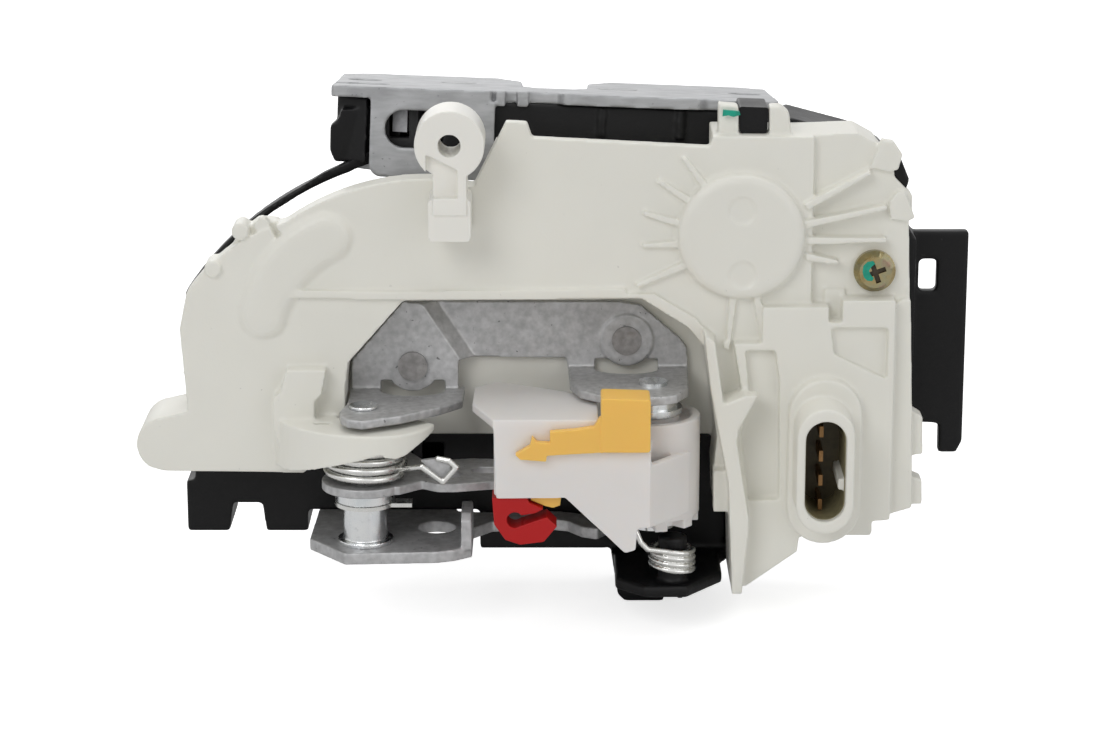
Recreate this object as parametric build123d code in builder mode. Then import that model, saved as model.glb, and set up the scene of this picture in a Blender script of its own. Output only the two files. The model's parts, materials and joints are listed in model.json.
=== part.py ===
# Car door latch with its lock actuator. Millimetres, Z up, Y away from the reader of the cover.
# Origin: centre of the outer face of the shut-face plate, midway between its two tapped holes.
import math
import os

from build123d import *

os.makedirs("parts", exist_ok=True)

# placement of the housing below and in front of the plate centre
datum_y = -39.0
datum_z = -50.5
plate_roll = 2.2
plate_tilt = 6.5

# clearances
fit_gap = 0.05
press_gap = 0.02
move_gap = 0.3

# shut-face plate and the stack under it, heights run down from the outer face
plate_half_length = 45.0
plate_half_width = 23.0
plate_thick = 2.3
case_depth = 13.2
case_floor = 2.0
back_plate_thick = 2.0
case_bottom = plate_thick + case_depth
stack_bottom = case_bottom + back_plate_thick
stud_spacing = 79.0
stud_hole_r = 3.4
slot_half = 6.5
slot_end = -6.0
slot_flare = 6.0
claw_x = 13.0
claw_y = 0.0
claw_r = 18.7
claw_mouth_half = 5.25
claw_pin_r = 4.0
claw_open_turn = -65.0
pawl_x = -20.0
pawl_y = 2.0
pawl_pin_r = 3.5
pawl_lift_turn = -9.0
claw_top = 4.2
claw_thick = 5.0

# cover
cover_face = 2.2
parting_y = 16.0
floor_y = 14.8
drum_x = 37.6
drum_z = 27.6
drum_r = 12.3
screw_x = 63.5
screw_z = 20.1
screw_face_y = 2.0
socket_x = 53.2
socket_z = -16.6
socket_width = 8.0
socket_height = 20.5
socket_rim_y = -16.0
socket_floor_y = 0.8

# base
base_back_y = 32.5
base_wall = 2.0

# vertical pins in front of the cover
lever_x = -38.1
lever_y = -4.6
lever_shaft_r = 3.0
lever_top = -21.2
lever_thick = 1.8
cam_x = 19.6
cam_y = -0.4
cam_pin_r = 3.4
steel = 1.8
left_flange_top = -6.6
right_flange_top = -2.8
bracket_left_y = 10.0
bracket_right_y = 13.0
lower_bracket_top = -34.4
lower_bracket_thick = 2.4
bracket_hole_r = 3.9
link_y = 18.6
link_thick = 2.0
link_x = -31.5

# cam moulding
cam_panel_y = -18.0
cam_wall = 2.0
cam_plate_top = -5.3
cam_hub_r = 9.5
cam_hub_top = -8.8
cam_hub_bottom = -31.0
cam_shelf_top = -12.0

# lock drive
gear_module = 0.8
wheel_teeth = 30
pinion_teeth = 10
wheel_y = 12.2
wheel_face = 2.4
wheel_r = gear_module * wheel_teeth / 2
pinion_r = gear_module * pinion_teeth / 2
worm_r = 3.5
worm_x = drum_x + wheel_r + worm_r
worm_y = wheel_y + wheel_face / 2
worm_lead = math.pi * gear_module
motor_top = 16.4
motor_length = 20.0
motor_r = 8.4
slide_y = 5.8
slide_thick = 3.5
rack_line = drum_z - pinion_r
rim_depth = 6.0
terminal_width = 0.8
terminal_height = 2.2
pin_rows = (-7.5, -2.5, 2.5, 7.5)
shoulder = [(-73.8, -1.0), (-68.4, 9.0), (-58.5, 17.6), (-46.5, 24.2), (-33, 28.0), (-17.5, 29.4)]
lock_x = -20.5
lock_z = 31.4
lock_shaft_r = 2.5
lock_arm = 8.5
slide_travel = 3.98


def front_plane(depth, x=0.0, z=0.0, turn=0.0):
    # parallel to the cover face, normal toward the viewer
    face = Plane(origin=(x, datum_y + depth, datum_z + z), x_dir=(1, 0, 0), z_dir=(0, -1, 0))
    return Plane(face.location * Location((0, 0, 0), (0, 0, turn)))


def level_plane(height, x=0.0, y=0.0, turn=0.0):
    # horizontal in the housing
    level = Plane(origin=(x, datum_y + y, datum_z + height), x_dir=(1, 0, 0), z_dir=(0, 0, 1))
    return Plane(level.location * Location((0, 0, 0), (0, 0, turn)))


def side_plane(across, y=0.0, z=0.0):
    # looks along the length of the housing
    return Plane(origin=(across, datum_y + y, datum_z + z), x_dir=(0, 1, 0), z_dir=(1, 0, 0))


roll = math.radians(plate_roll)
tilt = math.radians(plate_tilt)
plate_plane = Plane(
    origin=(0, 0, 0),
    x_dir=(math.cos(roll), 0, -math.sin(roll)),
    z_dir=(math.sin(roll) * math.cos(tilt), math.sin(tilt), math.cos(roll) * math.cos(tilt)),
)


def plate_level(depth, x=0.0, y=0.0, turn=0.0):
    # parallel to the shut-face plate, depth below its outer face
    return Plane(plate_plane.location * Location((x, y, -depth), (0, 0, turn)))


def polar(radius, angle):
    return (radius * math.cos(math.radians(angle)), radius * math.sin(math.radians(angle)))


slot_outline = [
    (-slot_half - slot_flare, plate_half_width + 1),
    (-slot_half - 0.5, plate_half_width - 9),
    (-slot_half, slot_end + 3),
    (-slot_half + 3, slot_end),
    (slot_half - 3, slot_end),
    (slot_half, slot_end + 3),
    (slot_half + 0.5, plate_half_width - 9),
    (slot_half + slot_flare, plate_half_width + 1),
]

# shut-face plate, the steel face that screws to the door edge
tab_left = -37.0
tab_right = -12.0
tab_drop = 12.0
with BuildPart() as latch_plate:
    with BuildSketch(plate_level(plate_thick)):
        with BuildLine():
            FilletPolyline(
                (-plate_half_length, -plate_half_width),
                (-13, -plate_half_width),
                (-12.4, -plate_half_width + 2.6),
                (0.6, -plate_half_width + 2.6),
                (1.8, -plate_half_width),
                (29, -plate_half_width),
                (30.5, -plate_half_width + 1.6),
                (plate_half_length, -plate_half_width + 1.6),
                (plate_half_length, plate_half_width - 4),
                (plate_half_length - 5, plate_half_width),
                (-plate_half_length + 5, plate_half_width),
                (-plate_half_length, plate_half_width - 4),
                radius=0.9,
                close=True,
            )
        make_face()
    extrude(amount=plate_thick)
    with BuildSketch(plate_level(plate_thick)):
        with Locations((tab_left / 2 + tab_right / 2, -plate_half_width + plate_thick / 2)):
            Rectangle(tab_right - tab_left, plate_thick)
    extrude(amount=-tab_drop)
    with BuildSketch(Plane(plate_level(plate_thick + tab_drop, 0, -plate_half_width).location
                           * Location((0, 0, 0), (90, 0, 0)))):
        for corner in (tab_left, tab_right):
            with Locations((corner, 0)):
                Rectangle(5, 5)
        for corner in (tab_left + 2.5, tab_right - 2.5):
            with Locations((corner, 2.5)):
                Circle(2.5, mode=Mode.SUBTRACT)
    extrude(amount=plate_thick + 1, both=True, mode=Mode.SUBTRACT)
    with BuildSketch(Plane(plate_level(plate_thick + 6.0, -24.5, -plate_half_width).location
                           * Location((0, 0, 0), (90, 0, 0)))):
        SlotOverall(19.0, 7.6)
    extrude(amount=plate_thick + 1, both=True, mode=Mode.SUBTRACT)
    with BuildSketch(plate_level(plate_thick)):
        Polygon(*slot_outline, align=None)
    extrude(amount=plate_thick, mode=Mode.SUBTRACT)
    with BuildSketch(plate_level(plate_thick + 3.2)):
        with Locations((-stud_spacing / 2, 0), (stud_spacing / 2, 0)):
            Circle(stud_hole_r + 1.9)
    extrude(amount=3.2)
    with BuildSketch(plate_level(plate_thick + 4)):
        with Locations((-stud_spacing / 2, 0), (stud_spacing / 2, 0)):
            Circle(stud_hole_r)
        with Locations((-39.2, -13)):
            SlotOverall(11, 5.3)
        with Locations((claw_x, claw_y)):
            Circle(claw_pin_r + press_gap)
        with Locations((pawl_x, pawl_y)):
            Circle(pawl_pin_r + press_gap)
    extrude(amount=plate_thick + 5, mode=Mode.SUBTRACT)
latch_plate.part.label = "latch_plate"
export_step(latch_plate.part, "parts/latch_plate.step")

# moulded case under the plate
case_half_length = 44.0
case_front = -plate_half_width + plate_thick + 0.1
case_back = 22.2
link_bay_left = link_x - 6.2
link_bay_right = link_x + 9.0
link_bay_back = -16.2
with BuildPart() as latch_case:
    with BuildSketch(plate_level(case_bottom)):
        with BuildLine():
            FilletPolyline(
                (-case_half_length, case_front + 3),
                (-case_half_length + 6, case_front),
                (case_half_length, case_front),
                (case_half_length, case_back - 5),
                (case_half_length - 5, case_back),
                (-case_half_length + 5, case_back),
                (-case_half_length, case_back - 5),
                radius=1.2,
                close=True,
            )
        make_face()
    extrude(amount=case_depth)
    with BuildSketch(plate_level(case_bottom - case_floor)):
        with BuildLine():
            Polyline(
                (-36.5, case_front + 1.4),
                (36.5, case_front + 1.4),
                (36.5, case_back - 1.6),
                (-36.5, case_back - 1.6),
                close=True,
            )
        make_face()
        with Locations((-stud_spacing / 2, 0), (stud_spacing / 2, 0)):
            Circle(stud_hole_r + 4.3, mode=Mode.SUBTRACT)
    extrude(amount=case_depth, mode=Mode.SUBTRACT)
    with BuildSketch(plate_level(case_bottom)):
        Polygon(*slot_outline, align=None)
        with Locations((claw_x, claw_y)):
            Circle(claw_pin_r + press_gap)
        with Locations((pawl_x, pawl_y)):
            Circle(pawl_pin_r + press_gap)
        with Locations(((link_bay_left + link_bay_right) / 2, case_front / 2 + link_bay_back / 2 - 1)):
            Rectangle(link_bay_right - link_bay_left, link_bay_back - case_front + 2)
        with Locations((-stud_spacing / 2, 0), (stud_spacing / 2, 0)):
            Circle(stud_hole_r + 2.2)
    extrude(amount=case_depth, mode=Mode.SUBTRACT)
    with BuildSketch(plate_level(case_bottom + 1.4)):
        for rib_x in (-5, 12, 27):
            with Locations((rib_x, case_front + 0.3)):
                Rectangle(1.2, 0.8)
    extrude(amount=1.4)
latch_case.part.label = "latch_case"
export_step(latch_case.part, "parts/latch_case.step")

# steel plate under the case
with BuildPart() as latch_back_plate:
    with BuildSketch(plate_level(stack_bottom)):
        with BuildLine():
            FilletPolyline(
                (-43, -14),
                (-36, case_front + 1),
                (40, case_front + 1),
                (43, -14),
                (43, 14),
                (36, case_back),
                (-36, case_back),
                (-43, 14),
                radius=2.0,
                close=True,
            )
        make_face()
        Polygon(*slot_outline, align=None, mode=Mode.SUBTRACT)
        with Locations((claw_x, claw_y)):
            Circle(claw_pin_r + press_gap, mode=Mode.SUBTRACT)
        with Locations((pawl_x, pawl_y)):
            Circle(pawl_pin_r + press_gap, mode=Mode.SUBTRACT)
        with Locations(((link_bay_left + link_bay_right) / 2, case_front / 2 + link_bay_back / 2 - 1)):
            Rectangle(link_bay_right - link_bay_left, link_bay_back - case_front + 2, mode=Mode.SUBTRACT)
        with Locations((-stud_spacing / 2, 0), (stud_spacing / 2, 0)):
            Circle(stud_hole_r + 2.2, mode=Mode.SUBTRACT)
    extrude(amount=back_plate_thick)
latch_back_plate.part.label = "latch_back_plate"
export_step(latch_back_plate.part, "parts/latch_back_plate.step")

# rivet pins that tie the two plates and carry claw and pawl
with BuildPart() as claw_pin:
    with BuildSketch(plate_level(stack_bottom, claw_x, claw_y)):
        Circle(claw_pin_r)
    extrude(amount=stack_bottom)
claw_pin.part.label = "claw_pin"
export_step(claw_pin.part, "parts/claw_pin.step")

with BuildPart() as pawl_pin:
    with BuildSketch(plate_level(stack_bottom, pawl_x, pawl_y)):
        Circle(pawl_pin_r)
    extrude(amount=stack_bottom)
pawl_pin.part.label = "pawl_pin"
export_step(pawl_pin.part, "parts/pawl_pin.step")

# claw, drawn closed and turned to its open rest place
claw_core_r = 11.0
low_r = 14.4
with BuildPart() as claw:
    with BuildSketch(plate_level(claw_top + claw_thick, claw_x, claw_y, claw_open_turn)):
        Circle(claw_core_r)
        with BuildLine():
            CenterArc((0, 0), claw_r, 145, 51)
            Polyline(polar(claw_r, 196), polar(claw_r, 215), polar(low_r, 216.5))
            CenterArc((0, 0), low_r, 216.5, 18.5)
            Line(polar(low_r, 235), polar(claw_r, 235))
            CenterArc((0, 0), claw_r, 235, 17)
            Polyline(polar(claw_r, 252), polar(low_r + 2, 253), polar(low_r + 2, 259), polar(claw_r, 262))
            CenterArc((0, 0), claw_r, 262, 23)
            Polyline(polar(claw_r, 285), polar(low_r, 284), polar(low_r, 303), polar(8, 310),
                     polar(4, 20), polar(8, 130), polar(claw_r, 145))
        make_face()
        with BuildLine():
            Polyline((-claw_r - 2, claw_mouth_half + 2.4), (-claw_r + 2, claw_mouth_half),
                     (-claw_x + claw_mouth_half, claw_mouth_half))
            ThreePointArc((-claw_x + claw_mouth_half, claw_mouth_half), (-claw_x + claw_mouth_half + 1.3, 0),
                          (-claw_x + claw_mouth_half, -claw_mouth_half))
            Polyline((-claw_x + claw_mouth_half, -claw_mouth_half), (-claw_r + 2, -claw_mouth_half),
                     (-claw_r - 2, -claw_mouth_half - 1.2), (-claw_r - 2, claw_mouth_half + 2.4))
        make_face(mode=Mode.SUBTRACT)
        Circle(claw_pin_r + fit_gap, mode=Mode.SUBTRACT)
    extrude(amount=claw_thick)
claw.part.label = "claw"
export_step(claw.part, "parts/claw.step")

# moulded sleeve round the back of the claw
with BuildPart() as claw_overmould:
    with BuildSketch(plate_level(claw_top + claw_thick - 0.4, claw_x, claw_y, claw_open_turn)):
        with BuildLine():
            CenterArc((0, 0), claw_core_r + 1.5, -45, 165)
            Line(polar(claw_core_r + 1.5, 120), polar(claw_core_r + press_gap, 120))
            CenterArc((0, 0), claw_core_r + press_gap, -45, 165)
            Line(polar(claw_core_r + press_gap, -45), polar(claw_core_r + 1.5, -45))
        make_face()
    extrude(amount=claw_thick - 0.8)
claw_overmould.part.label = "claw_overmould"
export_step(claw_overmould.part, "parts/claw_overmould.step")

# pawl, drawn engaged about its pin and turned to its lifted rest place
with BuildPart() as pawl:
    with BuildSketch(plate_level(claw_top + claw_thick, pawl_x, pawl_y, pawl_lift_turn)):
        Circle(6.6)
        Polygon((24.0, -14.3), (21.7, -17.2), (18.2, -17.4), (5.0, -8.6), (-1, -5), (2.5, 5.6),
                (11.5, -10.2), (18.1, -14.7), (21.4, -12.0), align=None)
        Polygon((-6.4, -1.6), (-9.8, -16.3), (-9.3, -22.1), (-6.3, -22.2), (-6.8, -16.4), (1.0, -6.2),
                align=None)
        Circle(pawl_pin_r + fit_gap, mode=Mode.SUBTRACT)
    extrude(amount=claw_thick)
pawl.part.label = "pawl"
export_step(pawl.part, "parts/pawl.step")

# torsion springs on the two pins
with BuildPart() as claw_spring:
    with BuildLine(plate_level(case_bottom - case_floor - 0.9, claw_x, claw_y, -20)) as claw_path:
        claw_coil = Helix(pitch=1.2, height=1.8, radius=claw_pin_r + 1.2)
        claw_leg = Line(claw_coil @ 1, (claw_coil @ 1) + (claw_coil % 1) * 11)
    with BuildSketch(Plane(origin=claw_path.line @ 0, z_dir=claw_path.line % 0)):
        Circle(0.55)
    sweep(is_frenet=True)
claw_spring.part.label = "claw_spring"
export_step(claw_spring.part, "parts/claw_spring.step")

with BuildPart() as pawl_spring:
    with BuildLine(plate_level(case_bottom - case_floor - 0.9, pawl_x, pawl_y, 100)) as pawl_path:
        pawl_coil = Helix(pitch=1.2, height=1.8, radius=pawl_pin_r + 1.2)
        pawl_leg = Line(pawl_coil @ 1, (pawl_coil @ 1) + (pawl_coil % 1) * 9)
    with BuildSketch(Plane(origin=pawl_path.line @ 0, z_dir=pawl_path.line % 0)):
        Circle(0.5)
    sweep(is_frenet=True)
pawl_spring.part.label = "pawl_spring"
export_step(pawl_spring.part, "parts/pawl_spring.step")

# rubber stop at the closed end of the striker slot
with BuildPart() as striker_buffer:
    with BuildSketch(plate_level(case_bottom - case_floor)):
        with Locations((-1, slot_end - 4.0)):
            RectangleRounded(10, 6, 1.5)
    extrude(amount=3.6)
striker_buffer.part.label = "striker_buffer"
export_step(striker_buffer.part, "parts/striker_buffer.step")

# moulded actuator cover
niche = [(32.6, -14), (29.7, 5.2), (26.5, 9.1), (17.7, 14.6), (-30.2, 14.2), (-41.4, 1.4), (-42.1, -4.1)]
with BuildPart() as actuator_cover:
    with BuildSketch(front_plane(parting_y)):
        with BuildLine():
            Polyline((-42.1, -4.1), (-42.1, -12), (-46.5, -17.5), (-50.6, -21.5), (-79.1, -21.1), (-81.7, -20.3))
            ThreePointArc((-81.7, -20.3), (-84.2, -15), (-79.3, -10))
            Polyline((-79.3, -10), (-73.7, -8.7), (-74.9, 8.3), (-73.3, 15.8))
            ThreePointArc((-73.3, 15.8), (-64.6, 24.6), (-53.2, 30.2))
            ThreePointArc((-53.2, 30.2), (-38.2, 37.2), (-24.6, 38.9))
            Polyline((-24.6, 38.9), (-16, 37.3), (-9.6, 50.3), (-5.5, 50.1), (-4.5, 47.1), (30.4, 45.3),
                     (31, 47.5), (48.1, 47.3), (59.6, 47.7), (63.6, 45.5), (66.8, 41.3), (67.4, 36.4),
                     (70.2, 31.6), (70.2, 29.1), (71.7, -9.4), (72, -20), (72.2, -28.9), (68, -30.2),
                     (64.2, -31.9), (64.3, -34.4), (49.5, -35.1), (49.1, -37.4), (38.9, -44.9),
                     (35.6, -44.9), (35.2, -29.3), (32.2, -29.1), (31.9, -21.7), (32.6, -14))
            Polyline(niche)
        make_face()
    extrude(amount=parting_y)
    fillet(actuator_cover.edges().filter_by(Axis.Y).filter_by(
        lambda e: (e @ 0).Z > datum_z + 12 and (e @ 0).X < -18), 1.2)
    # the hollow that holds the drive
    with BuildSketch(front_plane(parting_y)):
        Polygon((-72, -18.5), (-72.6, 8), (-66, 19.2), (-57, 25.6), (-42, 33), (-25, 36.8), (-14.5, 34.6),
                (-8, 46.6), (-6.8, 44.6), (31.5, 42.9), (46, 44.4), (59, 44.8), (64.6, 39.6), (67.8, 29),
                (69.4, -8), (69.9, -27), (62, -30.5), (50, -33), (38.5, -42.2), (37.3, -28), (34.1, -20),
                (34.8, -14), (31.8, 6.4), (27.8, 10.8), (18.4, 16.8), (-31.2, 16.4), (-43.5, 2.3),
                (-44.2, -4), (-44.2, -12.6), (-49.4, -18.5), align=None)
    extrude(amount=parting_y - cover_face, mode=Mode.SUBTRACT)
    # shallow rim at the upper left, the deep wall runs lower
    with BuildSketch(front_plane(parting_y + 1)):
        Polygon((-90, -1.0), *shoulder, (-11.2, 35.8), (-11.2, 60), (-90, 60), align=None)
    extrude(amount=parting_y + 1 - rim_depth, mode=Mode.SUBTRACT)
    with BuildSketch(front_plane(parting_y)):
        Polygon((-75.6, -2.8), (-73.8, -1.0), *shoulder, (-11.2, 35.8), (-11.2, 46.6), (-9.0, 46.6),
                (-9.4, 34.8), (-16.8, 27.6), (-32.7, 26.2), (-45.8, 22.4), (-57.5, 15.9), (-67.0, 7.8),
                (-72.0, -2.8), align=None)
    extrude(amount=parting_y - rim_depth - 1.0)
    # stepped panel right of the drum
    with BuildSketch(front_plane(0)):
        Polygon((51.0, 49), (51.0, 13.4), (66.5, 12.0), (69.0, 14.5), (75, 14.5), (75, 49), align=None)
    extrude(amount=-screw_face_y, mode=Mode.SUBTRACT)
    with BuildSketch(front_plane(screw_face_y + cover_face)):
        Polygon((49.0, 45.5), (49.0, 12.0), (70.6, 12.0), (69.4, 29.1), (66, 36.8), (66, 41.0), (59.3, 46.3),
                align=None)
    extrude(amount=cover_face)
    # floor of the niche with its stiffening skirt
    with BuildSketch(front_plane(parting_y)):
        Polygon((34.0, -14), (31.0, 5.6), (27.3, 10.1), (18, 15.8), (-30.8, 15.4), (-42.6, 1.9), (-43.3, -4),
                (-43.3, -12.5), (-36.5, -17.6), (33.5, -17.6), align=None)
    extrude(amount=parting_y - floor_y)
    # shelf at the lower left of the niche
    with BuildSketch(level_plane(-12.6)):
        with BuildLine():
            FilletPolyline((-58, 1), (-58, -5), (-50.5, -11.5), (-44, -14.8), (-34, -15.4), (-26.5, -13.0),
                           (-24.8, -8), (-27.5, -3.0), (-43.6, -1.5), (-43.6, 1), radius=1.2, close=True)
        make_face()
        with Locations((lever_x, lever_y)):
            Circle(lever_shaft_r + 2 * move_gap, mode=Mode.SUBTRACT)
    extrude(amount=3.2)
    with BuildSketch(level_plane(-16.8)):
        with BuildLine():
            CenterArc((lever_x, lever_y), 8.9, 190, 140)
            Line((lever_x + 8.9 * math.cos(math.radians(330)), lever_y - 4.45),
                 (lever_x + 10.6 * math.cos(math.radians(330)), lever_y - 5.3))
            CenterArc((lever_x, lever_y), 10.6, 190, 140)
            Line((lever_x + 10.6 * math.cos(math.radians(190)), lever_y + 10.6 * math.sin(math.radians(190))),
                 (lever_x + 8.9 * math.cos(math.radians(190)), lever_y + 8.9 * math.sin(math.radians(190))))
        make_face()
    extrude(amount=4.8)
    with BuildSketch(front_plane(0)):
        Polygon((-58, -21.3), (-50.6, -21.3), (-47, -17.5), (-47.4, -11.0), (-58, -11.0), align=None)
    extrude(amount=5.0)
    # drum of the worm wheel with its ejector marks and rays
    with BuildSketch(front_plane(0)):
        with Locations((drum_x, drum_z)):
            Circle(drum_r)
    extrude(amount=2.2)
    with BuildSketch(front_plane(-2.2)):
        with Locations((drum_x, drum_z)):
            Circle(drum_r)
    extrude(amount=0.8, taper=45)
    with BuildSketch(front_plane(-3.0)):
        with Locations((drum_x - 0.7, drum_z + 5.5), (drum_x - 0.5, drum_z - 7.5)):
            Circle(2.8)
    extrude(amount=-0.4, mode=Mode.SUBTRACT)
    ray_marks = [((22.9, 36.4), (28.0, 33.0)), ((26.4, 42.0), (30.6, 37.2)), ((32.4, 45.2), (34.0, 39.2)),
                 ((18.0, 31.0), (26.0, 29.4)), ((17.4, 24.6), (26.2, 25.4)), ((19.0, 16.9), (27.6, 21.0)),
                 ((63.8, 39.6), (51.2, 32.9)), ((66.8, 33.4), (51.4, 29.3)), ((66.6, 26.4), (51.3, 26.3)),
                 ((54.0, 21.8), (51.3, 23.1)), ((34.2, 5.4), (35.6, 15.6)), ((40.4, 5.4), (39.4, 15.6))]
    with BuildSketch(front_plane(screw_face_y + 0.2)):
        for ray_end, ray_start in ray_marks:
            middle = ((ray_end[0] + ray_start[0]) / 2, (ray_end[1] + ray_start[1]) / 2)
            run = (ray_end[0] - ray_start[0], ray_end[1] - ray_start[1])
            with Locations(Location((middle[0], middle[1], 0), (0, 0, math.degrees(math.atan2(run[1], run[0]))))):
                Rectangle(math.hypot(run[0], run[1]) + 1.5, 1.3)
    extrude(amount=screw_face_y + 1.8)
    # raised kidney pad, ridge over the niche and the raised connector field
    with BuildSketch(front_plane(0)):
        with BuildLine():
            kidney_top = ThreePointArc((-61.2, 15.6), (-54.6, 26.2), (-42.6, 31.2))
            kidney_end = ThreePointArc((-42.6, 31.2), (-38.4, 27.2), (-41.6, 23.4))
            kidney_low = ThreePointArc((-41.6, 23.4), (-48.8, 20.0), (-53.4, 12.4))
            kidney_tip = ThreePointArc((-53.4, 12.4), (-58.6, 10.2), (-61.2, 15.6))
        make_face()
    extrude(amount=1.0)
    with BuildSketch(front_plane(0)):
        Polygon((-52.4, 16.6), (-30.9, 16.4), (17.9, 17.0), (28.1, 10.9), (31.5, 6.1), (33.2, -5.0),
                (30.9, -5.0), (29.4, 5.0), (26.6, 8.9), (17.2, 15.0), (-30.9, 14.6), (-52.4, 15.2), align=None)
        Polygon(*[(33.6, -14.6), *niche, (-43.2, -4.1), (-43.2, -14.6)], align=None, mode=Mode.SUBTRACT)
    extrude(amount=1.3)
    with BuildSketch(front_plane(0)):
        with BuildLine():
            FilletPolyline((34.6, 11.6), (65.4, 11.6), (67.6, 5.8), (67.6, -26.4), (63.4, -30.9), (49.3, -33.6),
                           (49.0, -37.2), (38.7, -44.6), (36.0, -44.6), (34.9, -20), (37.3, -4),
                           radius=0.8, close=True)
        make_face()
    extrude(amount=3.0)
    # shield wall on the left of the connector field
    with BuildSketch(front_plane(1.0)):
        Polygon((29.4, 9.4), (30.8, -2.0), (34.6, -21.5), (35.6, -44.6), (37.6, -44.6), (38.9, -29.5),
                (36.2, -13.0), (36.4, -10.4), (40.2, -3.2), (37.8, -3.2), (33.4, -5.0), (31.6, 7.6), align=None)
    extrude(amount=9.0)
    # oval connector tower with its key rib
    with BuildSketch(front_plane(-3.0, socket_x + 0.6, socket_z - 0.9)):
        SlotOverall(34.0, 14.6, rotation=90)
    extrude(amount=3.2)
    with BuildSketch(front_plane(-3.0, socket_x, socket_z)):
        SlotOverall(25.5, 11.4, rotation=90)
    extrude(amount=-3.0 - socket_rim_y)
    with BuildSketch(front_plane(cover_face, socket_x, socket_z)):
        RectangleRounded(13.0, 26.0, 2.0)
    extrude(amount=-1.2)
    with BuildSketch(front_plane(socket_floor_y, socket_x, socket_z)):
        SlotOverall(socket_height, socket_width, rotation=90)
    extrude(amount=socket_floor_y - socket_rim_y, mode=Mode.SUBTRACT)
    with BuildSketch(front_plane(socket_floor_y, socket_x + socket_width / 2 - 0.5, socket_z - 3.2)):
        Rectangle(1.6, 2.4)
    extrude(amount=socket_floor_y - socket_rim_y - 2.5)
    # screw boss, pivot boss, axle boss and the guide of the slide inside
    with BuildSketch(front_plane(parting_y, screw_x, screw_z)):
        Circle(3.2)
    extrude(amount=parting_y - screw_face_y - 1)
    with BuildSketch(front_plane(cover_face + 0.5, lock_x, lock_z)):
        Circle(4.2)
    extrude(amount=1.0)
    with BuildSketch(front_plane(slide_y - 0.8, drum_x, drum_z)):
        Circle(3.6)
    extrude(amount=slide_y - 1.8)
    with BuildSketch(front_plane(slide_y + slide_thick)):
        with Locations((-8, 17.8), (12, 17.8), (28, 17.8)):
            Rectangle(3.0, 1.4)
    extrude(amount=slide_y + slide_thick - 1)
    with BuildSketch(front_plane(parting_y + 1)):
        with Locations((screw_x, screw_z)):
            Circle(1.9 + press_gap)
        with Locations((lock_x, lock_z)):
            Circle(lock_shaft_r + fit_gap)
        with Locations((54.3, 9.8)):
            Rectangle(2.6, 3.2)
    extrude(amount=parting_y + 6, mode=Mode.SUBTRACT)
    with BuildSketch(front_plane(parting_y, drum_x, drum_z)):
        Circle(2.0 + press_gap)
    extrude(amount=parting_y + 2.2, mode=Mode.SUBTRACT)
    with BuildSketch(front_plane(parting_y)):
        for row in pin_rows:
            with Locations((socket_x - 0.4, socket_z + row - 1.2)):
                Rectangle(terminal_width + 2 * press_gap, terminal_height + 2 * press_gap)
    extrude(amount=parting_y - socket_floor_y + 1, mode=Mode.SUBTRACT)
    # clip loops on the rim
    with BuildSketch(front_plane(6.0)):
        Polygon((32.1, 47), (32.1, 53.5), (36, 53.1), (36.1, 47), align=None)
        Polygon((42.2, 47), (42.1, 53.1), (44.4, 53.1), (46, 51.7), (46.6, 47), align=None)
    extrude(amount=4.5)
    with BuildSketch(front_plane(7.0)):
        Polygon((-66.5, 21.5), (-62.6, 27.4), (-59.0, 30.2), (-55.0, 30.0), (-55, 27.6), align=None)
        Polygon((71, -8.5), (74.1, -10.4), (74.3, -18.1), (71.4, -18.6), align=None)
        Polygon((71.4, -22.5), (74.3, -23.6), (74.5, -28.7), (71.4, -28.7), align=None)
        Polygon((65.5, 40.5), (70.7, 35.2), (70.7, 31.5), (68, 31.5), align=None)
    extrude(amount=5.0)
    # cable anchor at the left
    with BuildSketch(front_plane(0)):
        Polygon((-54.4, 0.6), (-45.6, 0.3), (-44.9, -4.6), (-47.2, -8.4), (-50.0, -10.8), (-50.8, -15.6),
                (-55.8, -16.6), (-55.6, -3.6), align=None)
    extrude(amount=3.6)
    with BuildSketch(front_plane(-3.6)):
        Polygon((-53.2, -3.8), (-48.2, -3.8), (-49.2, -7.8), (-53.0, -10.4), align=None)
    extrude(amount=-2.2, mode=Mode.SUBTRACT)
actuator_cover.part.label = "actuator_cover"
export_step(actuator_cover.part, "parts/actuator_cover.step")

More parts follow.
